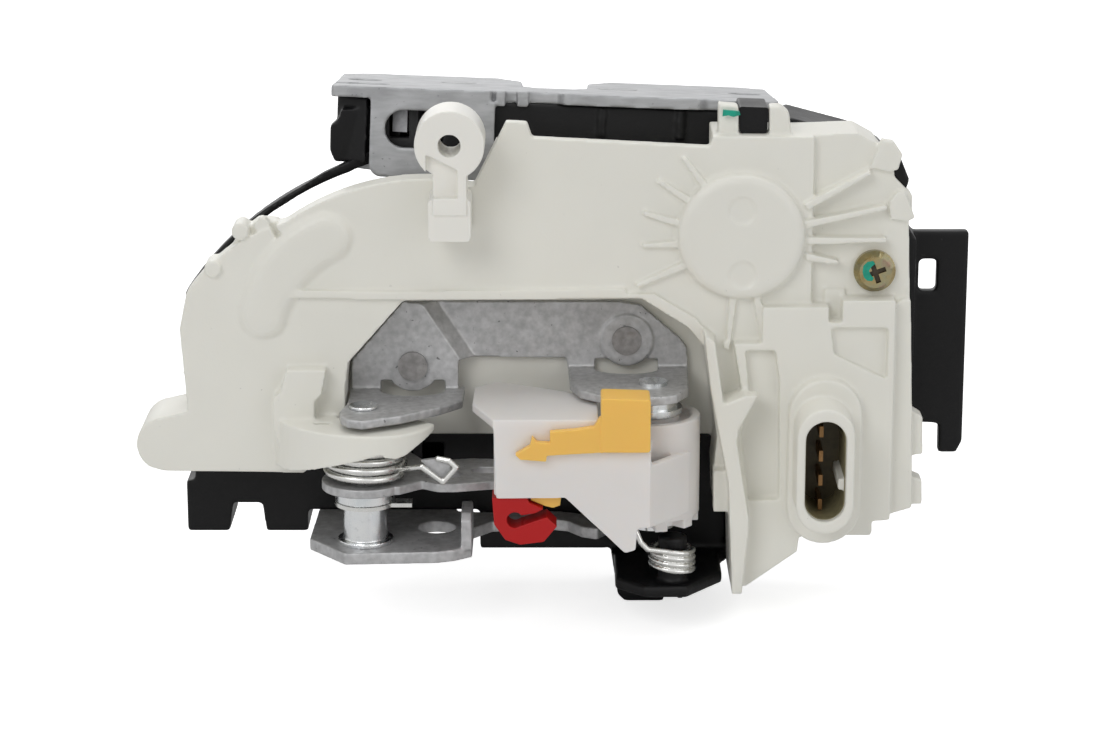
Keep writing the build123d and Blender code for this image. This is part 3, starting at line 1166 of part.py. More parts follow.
with BuildPart() as motor_end_cap:
    with BuildSketch(level_plane(motor_top - motor_length, worm_x, worm_y)):
        Circle(motor_r - 0.9 - press_gap)
    extrude(amount=2.4)
    with BuildSketch(level_plane(motor_top - motor_length, worm_x, worm_y)):
        Circle(3.0)
    extrude(amount=-1.4)
    with BuildSketch(level_plane(motor_top - motor_length - 2, worm_x, worm_y)):
        with Locations((-5, 0), (5, 0)):
            Rectangle(0.9, 3.2)
    extrude(amount=6, mode=Mode.SUBTRACT)
motor_end_cap.part.label = "motor_end_cap"
export_step(motor_end_cap.part, "parts/motor_end_cap.step")

with BuildPart() as motor_terminals:
    for side in (-5, 5):
        with BuildSketch(level_plane(motor_top - motor_length - 4.5, worm_x + side, worm_y)):
            Rectangle(0.8, 3.0)
        extrude(amount=7.4)
motor_terminals.part.label = "motor_terminals"
export_step(motor_terminals.part, "parts/motor_terminals.step")

# carrier with the lead frame, the socket pins and two micro switches
carrier_y = 24.6
with BuildPart() as circuit_carrier:
    with BuildSketch(front_plane(base_back_y - base_wall)):
        with BuildLine():
            FilletPolyline((30, -34), (56, -26), (66, -20), (66, 8), (58, 12.5), (-2, 12.5), (-2, 2), (24, 2),
                           (30, -10), radius=2.0, close=True)
        make_face()
    extrude(amount=2.2)
circuit_carrier.part.label = "circuit_carrier"
export_step(circuit_carrier.part, "parts/circuit_carrier.step")

carrier_face = base_back_y - base_wall - 2.2
with BuildPart() as connector_terminals:
    for row in pin_rows:
        with BuildSketch(front_plane(carrier_face, socket_x - 0.4, socket_z + row - 1.2)):
            Rectangle(terminal_width, terminal_height)
        extrude(amount=carrier_face + 9.0)
connector_terminals.part.label = "connector_terminals"
export_step(connector_terminals.part, "parts/connector_terminals.step")

with BuildPart() as micro_switches:
    for switch_x in (4.0, 18.0):
        with BuildSketch(front_plane(carrier_face, switch_x, 7.4)):
            Rectangle(10.5, 6.0)
        extrude(amount=7.0)
        with BuildSketch(front_plane(carrier_face - 7.0, switch_x - 2.6, 7.4)):
            Rectangle(1.6, 2.2)
        extrude(amount=1.1)
micro_switches.part.label = "micro_switches"
export_step(micro_switches.part, "parts/micro_switches.step")

# cover screw with its cross recess
with BuildPart() as cover_screw:
    with BuildSketch(front_plane(screw_face_y, screw_x, screw_z)):
        Circle(4.15)
    extrude(amount=1.2)
    with BuildSketch(front_plane(screw_face_y - 1.2, screw_x, screw_z)):
        Circle(4.15)
    extrude(amount=1.3, taper=38)
    with BuildSketch(front_plane(screw_face_y, screw_x, screw_z)):
        Circle(1.48)
    extrude(amount=-20)
    with BuildSketch(front_plane(screw_face_y - 3, screw_x, screw_z, 20)):
        Rectangle(4.4, 1.0)
        Rectangle(1.0, 4.4)
    extrude(amount=-1.9, mode=Mode.SUBTRACT)
cover_screw.part.label = "cover_screw"
export_step(cover_screw.part, "parts/cover_screw.step")

# dark spring block between the clip loops of the top rim
with BuildPart() as rim_catch:
    with BuildSketch(front_plane(13.0)):
        with BuildLine():
            FilletPolyline((36.4, 47.6), (41.8, 47.6), (42.0, 52.6), (36.2, 52.8), radius=0.5, close=True)
        make_face()
    extrude(amount=10.0)
rim_catch.part.label = "rim_catch"
export_step(rim_catch.part, "parts/rim_catch.step")
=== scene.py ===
import json
import math

import bpy
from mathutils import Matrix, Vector


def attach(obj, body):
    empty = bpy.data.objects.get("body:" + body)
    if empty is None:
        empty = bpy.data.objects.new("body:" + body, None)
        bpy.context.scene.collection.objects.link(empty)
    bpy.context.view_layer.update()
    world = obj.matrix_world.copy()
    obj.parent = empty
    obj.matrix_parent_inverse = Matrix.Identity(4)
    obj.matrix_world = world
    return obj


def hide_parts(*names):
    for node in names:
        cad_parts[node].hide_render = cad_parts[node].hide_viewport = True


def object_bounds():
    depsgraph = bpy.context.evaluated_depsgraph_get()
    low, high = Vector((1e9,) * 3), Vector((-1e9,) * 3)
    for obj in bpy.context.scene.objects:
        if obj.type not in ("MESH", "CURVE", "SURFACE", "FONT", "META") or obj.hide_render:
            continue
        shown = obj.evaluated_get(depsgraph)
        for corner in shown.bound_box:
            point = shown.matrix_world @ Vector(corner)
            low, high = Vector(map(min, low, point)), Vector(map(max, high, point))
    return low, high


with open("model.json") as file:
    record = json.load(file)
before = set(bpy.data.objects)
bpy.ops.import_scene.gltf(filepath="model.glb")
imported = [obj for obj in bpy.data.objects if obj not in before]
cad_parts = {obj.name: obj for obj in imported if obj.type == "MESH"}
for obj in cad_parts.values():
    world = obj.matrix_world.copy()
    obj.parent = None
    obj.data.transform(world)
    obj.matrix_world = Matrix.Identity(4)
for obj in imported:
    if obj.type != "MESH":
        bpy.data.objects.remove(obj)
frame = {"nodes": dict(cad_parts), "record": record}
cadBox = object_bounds()
nodes = frame["nodes"]
scene = bpy.context.scene
mm = 0.001
print("stage 1: frame loaded,", len(nodes), "nodes")

# the housing sits below and in front of the plate centre, in metres
datum = Vector((0.0, -39.0 * mm, -50.5 * mm))


def housing(x, y, z):
    # a place given in the housing's own millimetres
    return datum + Vector((x, y, z)) * mm


def newFinish(name):
    material = bpy.data.materials.new(name)
    material.use_nodes = True
    tree = material.node_tree
    shader = tree.nodes["Principled BSDF"]
    place = tree.nodes.new("ShaderNodeTexCoord").outputs["Object"]
    return material, tree, shader, place


def noiseOf(tree, place, size, detail=4.0, stretch=None):
    # size is the width of one patch in metres
    noise = tree.nodes.new("ShaderNodeTexNoise")
    noise.inputs["Scale"].default_value = 1.0 / size
    noise.inputs["Detail"].default_value = detail
    if stretch:
        mapping = tree.nodes.new("ShaderNodeMapping")
        mapping.inputs["Scale"].default_value = stretch
        tree.links.new(place, mapping.inputs["Vector"])
        place = mapping.outputs["Vector"]
    tree.links.new(place, noise.inputs["Vector"])
    return noise.outputs["Fac"]


def rampOf(tree, value, stops):
    ramp = tree.nodes.new("ShaderNodeValToRGB")
    while len(ramp.color_ramp.elements) < len(stops):
        ramp.color_ramp.elements.new(0.5)
    for element, (spot, colour) in zip(ramp.color_ramp.elements, stops):
        element.position = spot
        element.color = (*colour, 1.0) if len(colour) == 3 else colour
    tree.links.new(value, ramp.inputs["Fac"])
    return ramp.outputs["Color"]


def grey(value):
    return (value, value, value)


def tint(colour, factor):
    return tuple(min(1.0, channel * factor) for channel in colour)


def mixOf(tree, factor, first, second, blend="MIX"):
    mix = tree.nodes.new("ShaderNodeMix")
    mix.data_type = "RGBA"
    mix.blend_type = blend
    for value, socket in ((factor, mix.inputs[0]), (first, mix.inputs[6]), (second, mix.inputs[7])):
        if isinstance(value, bpy.types.NodeSocket):
            tree.links.new(value, socket)
        elif isinstance(value, tuple):
            socket.default_value = (*value, 1.0)
        else:
            socket.default_value = value
    return mix.outputs[2]


def bumpOf(tree, shader, heights):
    # each height is (value, strength, depth in metres), laid one on the other
    below = None
    for value, strength, depth in heights:
        bump = tree.nodes.new("ShaderNodeBump")
        bump.inputs["Strength"].default_value = strength
        bump.inputs["Distance"].default_value = depth
        tree.links.new(value, bump.inputs["Height"])
        if below:
            tree.links.new(below, bump.inputs["Normal"])
        below = bump.outputs["Normal"]
    tree.links.new(below, shader.inputs["Normal"])


def plasticFinish(name, look):
    # moulded plastic: slow tone drift, fine spark grain, a few specks of dirt, uneven gloss
    material, tree, shader, place = newFinish(name)
    colour = look["colour"]
    drift = rampOf(tree, noiseOf(tree, place, look.get("driftSize", 0.03), 3.0),
                   [(0.3, tint(colour, 1.0 - look["drift"])), (0.7, tint(colour, 1.0 + look["drift"]))])
    dust = rampOf(tree, noiseOf(tree, place, 0.0011, 2.0),
                  [(look.get("dustFrom", 0.74), grey(0.0)), (look.get("dustFrom", 0.74) + 0.03, grey(1.0))])
    dustPatch = rampOf(tree, noiseOf(tree, place, 0.012, 2.0), [(0.45, grey(0.0)), (0.75, grey(look["dust"]))])
    dustHere = mixOf(tree, 1.0, dust, dustPatch, "MULTIPLY")
    tree.links.new(mixOf(tree, dustHere, drift, look.get("dustColour", tint(colour, 0.35))),
                   shader.inputs["Base Color"])
    gloss = rampOf(tree, noiseOf(tree, place, 0.009, 5.0),
                   [(0.3, grey(look["roughness"] - 0.06)), (0.7, grey(look["roughness"] + 0.08))])
    tree.links.new(gloss, shader.inputs["Roughness"])
    shader.inputs["Specular IOR Level"].default_value = look.get("specular", 0.45)
    if look.get("scatter"):
        shader.inputs["Subsurface Weight"].default_value = look["scatter"]
        shader.inputs["Subsurface Radius"].default_value = look.get("scatterColour", (1.0, 0.9, 0.75))
        shader.inputs["Subsurface Scale"].default_value = look.get("scatterDepth", 0.0015)
    bumpOf(tree, shader, [(noiseOf(tree, place, look.get("grainSize", 0.0004), 3.0), look["grain"], 0.00006),
                          (noiseOf(tree, place, 0.010, 2.0), 0.25, 0.0004)])
    return material


def steelFinish(name, look):
    # zinc or phosphate coated sheet: crystal mottle, dark pin specks, rolling streaks, dull and shiny patches
    material, tree, shader, place = newFinish(name)
    colour = look["colour"]
    mottle = rampOf(tree, noiseOf(tree, place, 0.0014, 6.0, look.get("stretch")),
                    [(0.32, tint(colour, 1.0 - look["mottle"])), (0.68, tint(colour, 1.0 + look["mottle"]))])
    cloud = rampOf(tree, noiseOf(tree, place, 0.012, 4.0), [(0.3, grey(0.86)), (0.7, grey(1.0))])
    base = mixOf(tree, 1.0, mottle, cloud, "MULTIPLY")
    pits = rampOf(tree, noiseOf(tree, place, 0.0009, 2.0), [(0.7, grey(0.0)), (0.76, grey(look["specks"]))])
    stain = rampOf(tree, noiseOf(tree, place, 0.006, 6.0), [(0.62, grey(0.0)), (0.82, grey(look["stains"]))])
    base = mixOf(tree, pits, base, tint(colour, 0.3))
    base = mixOf(tree, stain, base, look.get("stainColour", tint(colour, 0.45)))
    tree.links.new(base, shader.inputs["Base Color"])
    shader.inputs["Metallic"].default_value = look["metallic"]
    gloss = rampOf(tree, noiseOf(tree, place, 0.004, 6.0),
                   [(0.3, grey(look["roughness"] - 0.09)), (0.75, grey(look["roughness"] + 0.12))])
    tree.links.new(gloss, shader.inputs["Roughness"])
    bumpOf(tree, shader, [(noiseOf(tree, place, 0.0005, 4.0), 0.3, 0.00005),
                          (noiseOf(tree, place, 0.004, 3.0), 0.3, 0.00012)])
    return material


def brightFinish(name, look):
    # plated or drawn metal: a clear shine broken by fine draw marks and a slow colour film
    material, tree, shader, place = newFinish(name)
    stops = [(0.28 + 0.44 * index / (len(look["colours"]) - 1), colour)
             for index, colour in enumerate(look["colours"])]
    film = rampOf(tree, noiseOf(tree, place, look["filmSize"], 3.0), stops)
    tarnish = rampOf(tree, noiseOf(tree, place, 0.0011, 5.0), [(0.62, grey(0.0)), (0.8, grey(look["tarnish"]))])
    tree.links.new(mixOf(tree, tarnish, film, tint(look["colours"][0], 0.4)), shader.inputs["Base Color"])
    shader.inputs["Metallic"].default_value = 1.0
    gloss = rampOf(tree, noiseOf(tree, place, 0.0016, 5.0, look.get("stretch")),
                   [(0.3, grey(look["roughness"] - 0.05)), (0.7, grey(look["roughness"] + 0.1))])
    tree.links.new(gloss, shader.inputs["Roughness"])
    bumpOf(tree, shader, [(noiseOf(tree, place, 0.0006, 3.0, look.get("stretch")), 0.22, 0.00004)])
    return material


finishes = {
    "ivory_plastic": plasticFinish("ivoryMoulding", dict(
        colour=(0.83, 0.82, 0.755), drift=0.02, dust=0.5, roughness=0.42, grain=0.25,
        scatter=0.12, scatterDepth=0.0012)),
    "white_plastic": plasticFinish("whiteMoulding", dict(
        colour=(0.88, 0.865, 0.81), drift=0.012, dust=0.2, roughness=0.38, grain=0.2,
        scatter=0.15, scatterDepth=0.0014)),
    "cam_nylon": plasticFinish("camNylon", dict(
        colour=(0.84, 0.81, 0.79), drift=0.02, dust=0.25, roughness=0.34, grain=0.15,
        scatter=0.45, scatterColour=(1.0, 0.82, 0.7), scatterDepth=0.0028)),
    "gear_nylon": plasticFinish("gearNylon", dict(
        colour=(0.72, 0.71, 0.64), drift=0.02, dust=0.2, roughness=0.36, grain=0.15,
        scatter=0.3, scatterDepth=0.002)),
    "black_plastic": plasticFinish("blackMoulding", dict(
        colour=(0.006, 0.006, 0.0065), drift=0.15, dust=0.35, roughness=0.4, grain=0.5, specular=0.22,
        dustColour=(0.05, 0.05, 0.048))),
    "switch_plastic": plasticFinish("switchMoulding", dict(
        colour=(0.05, 0.05, 0.055), drift=0.1, dust=0.3, roughness=0.45, grain=0.4,
        dustColour=(0.12, 0.12, 0.12))),
    "overmould": plasticFinish("clawSleeve", dict(
        colour=(0.03, 0.03, 0.032), drift=0.12, dust=0.5, roughness=0.5, grain=0.5,
        dustColour=(0.12, 0.12, 0.11))),
    "buffer_rubber": plasticFinish("bufferRubber", dict(
        colour=(0.018, 0.018, 0.018), drift=0.15, dust=0.7, roughness=0.72, grain=0.6, specular=0.3,
        dustColour=(0.08, 0.078, 0.07))),
    "yellow_plastic": plasticFinish("amberMoulding", dict(
        colour=(0.95, 0.56, 0.12), drift=0.03, dust=0.15, roughness=0.4, grain=0.2,
        scatter=0.25, scatterColour=(1.0, 0.6, 0.2), scatterDepth=0.002)),
    "red_plastic": plasticFinish("redMoulding", dict(
        colour=(0.48, 0.004, 0.005), drift=0.05, dust=0.15, roughness=0.36, grain=0.2, specular=0.35)),
    "plate_steel": steelFinish("plateSteel", dict(
        colour=(0.43, 0.435, 0.445), mottle=0.14, specks=0.6, stains=0.4, roughness=0.56, metallic=0.45,
        stretch=(0.25, 1.0, 1.0))),
    "bracket_steel": steelFinish("bracketSteel", dict(
        colour=(0.5, 0.5, 0.505), mottle=0.15, specks=0.85, stains=0.35, roughness=0.5, metallic=0.55)),
    "claw_steel": steelFinish("clawSteel", dict(
        colour=(0.3, 0.3, 0.31), mottle=0.15, specks=0.4, stains=0.4, roughness=0.42, metallic=0.85)),
    "rivet_steel": steelFinish("rivetSteel", dict(
        colour=(0.3, 0.29, 0.285), mottle=0.2, specks=0.8, stains=0.7, roughness=0.48, metallic=0.7,
        stainColour=(0.16, 0.1, 0.07))),
    "bright_zinc": brightFinish("brightZinc", dict(
        colours=[(0.62, 0.66, 0.68), (0.74, 0.75, 0.75), (0.66, 0.69, 0.72)], filmSize=0.008, tarnish=0.4,
        roughness=0.22, stretch=(1.0, 1.0, 0.15))),
    "spring_wire": brightFinish("springWire", dict(
        colours=[(0.62, 0.62, 0.6), (0.72, 0.72, 0.7)], filmSize=0.006, tarnish=0.3, roughness=0.24)),
    "gold_zinc": brightFinish("goldZinc", dict(
        colours=[(0.3, 0.23, 0.1), (0.4, 0.32, 0.16), (0.34, 0.32, 0.2), (0.36, 0.25, 0.18)], filmSize=0.003,
        tarnish=0.6, roughness=0.2)),
    "worm_brass": brightFinish("wormBrass", dict(
        colours=[(0.66, 0.5, 0.2), (0.78, 0.6, 0.28)], filmSize=0.004, tarnish=0.3, roughness=0.3)),
    "terminal_brass": brightFinish("terminalBrass", dict(
        colours=[(0.2, 0.11, 0.045), (0.28, 0.16, 0.07)], filmSize=0.004, tarnish=0.5, roughness=0.42)),
}

slotOf = {part["node"]: part["material_slot"] for part in frame["record"]["subparts"]}
bodyOf = {node: body for body, members in frame["record"]["behaviour"]["bodies"].items() for node in members}
for name, node in nodes.items():
    for materialSlot in node.material_slots:
        materialSlot.material = finishes[slotOf[name]]
pinSteel = steelFinish("pinSteel", dict(
    colour=(0.34, 0.345, 0.35), mottle=0.15, specks=0.5, stains=0.5, roughness=0.45, metallic=0.5))
for name in ("claw_pin", "pawl_pin"):
    nodes[name].material_slots[0].material = pinSteel
print("stage 2: finishes made and laid on the nodes")


# moulded and pressed pieces with their edges rounded off
def selectOnly(piece):
    bpy.ops.object.select_all(action="DESELECT")
    piece.select_set(True)
    bpy.context.view_layer.objects.active = piece


def finishPiece(piece, name, body, slot, sharp=32):
    piece.name = name
    piece.data.name = name
    selectOnly(piece)
    bpy.ops.object.shade_smooth_by_angle(angle=math.radians(sharp))
    piece.data.materials.clear()
    piece.data.materials.append(finishes[slot])
    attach(piece, body)


def easeCells(piece, grain, passes):
    # the piece remade in even cells of one grain in mm, then eased at every edge
    selectOnly(piece)
    cells = piece.modifiers.new("cells", "REMESH")
    cells.mode = "VOXEL"
    cells.voxel_size = grain * mm
    bpy.ops.object.modifier_apply(modifier="cells")
    ease = piece.modifiers.new("ease", "SMOOTH")
    ease.iterations = passes
    bpy.ops.object.modifier_apply(modifier="ease")


# forms that the plain nodes lack: outlines in the housing's millimetres, each cut away or built on
def frontPlace(across, up, deep):
    return housing(across, deep, up)


def levelPlace(across, deep, height):
    return housing(across, deep, height)


plateTurn = dict(roll=math.radians(2.2), tilt=math.radians(6.5))
plateAcross = Vector((math.cos(plateTurn["roll"]), 0.0, -math.sin(plateTurn["roll"])))
plateUp = Vector((math.sin(plateTurn["roll"]) * math.cos(plateTurn["tilt"]), math.sin(plateTurn["tilt"]),
                  math.cos(plateTurn["roll"]) * math.cos(plateTurn["tilt"])))
plateBack = plateUp.cross(plateAcross)


def platePlace(across, back, depth):
    # in the shut-face plate's own turn, depth runs down from its outer face
    return (plateAcross * across + plateBack * back - plateUp * depth) * mm


def plateFront(across, up, back):
    return platePlace(across, back, -up)


rampAcross = Vector((10.6, 0.0, 6.9)).normalized()
rampAlong = Vector((6.9, 0.0, -10.6)).normalized()


def rampPlace(across, deep, along):
    # along the joggle of the niche bracket, across it and in depth
    return housing(-33.8, 0.0, 21.7) + (rampAcross * across + Vector((0.0, deep, 0.0)) + rampAlong * along) * mm


def ovalOf(across, up, halfAcross, halfUp, count=40):
    turns = [2 * math.pi * step / count for step in range(count)]
    return [(across + halfAcross * math.cos(turn), up + halfUp * math.sin(turn)) for turn in turns]


def ringOf(across, up, radius, count=40):
    return ovalOf(across, up, radius, radius, count)


def barOf(start, end, width):
    # a rib's outline, narrower at its far end
    run = Vector((end[0] - start[0], end[1] - start[1])).normalized() * width / 2
    return [(start[0] - run.y, start[1] + run.x), (start[0] + run.y, start[1] - run.x),
            (end[0] + run.y * 0.6, end[1] - run.x * 0.6), (end[0] - run.y * 0.6, end[1] + run.x * 0.6)]


def arcOf(start, middle, end, count=12):
    # points on the circle through three places, the last one left for what follows
    ax, ay, bx, by, cx, cy = *start, *middle, *end
    twiceArea = 2 * (ax * (by - cy) + bx * (cy - ay) + cx * (ay - by))
    aa, bb, cc = ax * ax + ay * ay, bx * bx + by * by, cx * cx + cy * cy
    ux = (aa * (by - cy) + bb * (cy - ay) + cc * (ay - by)) / twiceArea
    uy = (aa * (cx - bx) + bb * (ax - cx) + cc * (bx - ax)) / twiceArea
    radius = math.hypot(ax - ux, ay - uy)
    first, mid, last = (math.atan2(y - uy, x - ux) for x, y in (start, middle, end))
    turn = (last - first) % (2 * math.pi)
    if (mid - first) % (2 * math.pi) > turn:
        turn -= 2 * math.pi
    angles = [first + turn * step / count for step in range(count)]
    return [(ux + radius * math.cos(angle), uy + radius * math.sin(angle)) for angle in angles]


def shrunk(outline, inset):
    # the outline drawn in along the mean normal at each point
    count = len(outline)
    area = sum(a[0] * b[1] - b[0] * a[1] for a, b in zip(outline, outline[1:] + outline[:1]))
    side = 1.0 if area > 0 else -1.0
    inner = []
    for index, (across, up) in enumerate(outline):
        before, after = outline[index - 1], outline[(index + 1) % count]
        run = Vector((after[0] - before[0], after[1] - before[1])).normalized() * inset * side
        inner.append((across - run.y, up + run.x))
    return inner


def slab(outline, place, near, far):
    # a filled ring whose points are set on the outline, then pulled out to its thickness
    bpy.ops.object.select_all(action="DESELECT")
    bpy.ops.mesh.primitive_circle_add(vertices=len(outline), radius=mm, fill_type="NGON", location=(0, 0, 0))
    piece = bpy.context.object
    for vertex, (across, up) in zip(piece.data.vertices, outline):
        vertex.co = place(across, up, near)
    bpy.ops.object.mode_set(mode="EDIT")
    bpy.ops.mesh.select_all(action="SELECT")
    bpy.ops.mesh.extrude_region_move(TRANSFORM_OT_translate={"value": place(0, 0, far) - place(0, 0, near)})
    bpy.ops.mesh.select_all(action="SELECT")
    bpy.ops.mesh.normals_make_consistent(inside=False)
    bpy.ops.object.mode_set(mode="OBJECT")
    return piece


def work(piece, tool, way):
    # the tool is taken from the piece or added to it, and used up
    change = piece.modifiers.new("change", "BOOLEAN")
    change.operation = "DIFFERENCE" if way == "cut" else "UNION"
    change.solver = "EXACT"
    change.object = tool
    selectOnly(piece)
    bpy.ops.object.modifier_apply(modifier="change")
    bpy.data.objects.remove(tool)


skirtOuter = [*arcOf((-56.5, 0.5), (-47.8, -12.0), (-38.1, -15.6)),
              *arcOf((-38.1, -15.6), (-28.2, -13.0), (-24.0, -6.0)), (-24.0, -6.0)]
skirtInner = [*arcOf((-25.6, -5.6), (-29.3, -11.8), (-38.1, -14.0)),
              *arcOf((-38.1, -14.0), (-46.9, -10.8), (-54.4, 0.5)), (-54.4, 0.5)]
padLine = [*arcOf((-62.8, 11.0), (-58.0, 23.4), (-46.4, 32.0)), *arcOf((-46.4, 32.0), (-41.0, 30.0), (-42.3, 23.2)),
           *arcOf((-42.3, 23.2), (-49.0, 18.2), (-53.4, 11.0)), *arcOf((-53.4, 11.0), (-58.5, 6.6), (-62.8, 11.0))]
coverForm = dict(
    rayMarks=[((25.2, 43.4), (29.9, 37.1)), ((20.3, 38.7), (27.0, 34.4)), ((17.4, 32.3), (25.2, 30.0)),
              ((17.2, 25.6), (25.0, 26.0)), ((16.2, 17.5), (25.9, 21.8)), ((34.5, 6.0), (35.4, 15.6)),
              ((41.6, 6.0), (40.0, 15.6))],
    panelMarks=[((62.0, 40.4), (49.4, 33.4)), ((65.4, 33.4), (49.6, 29.9)), ((65.6, 26.8), (49.8, 26.6)),
                ((56.1, 22.2), (49.6, 23.4))],
    drum=(36.8, 27.7, 12.5),
)
drumX, drumZ, drumRadius = coverForm["drum"]
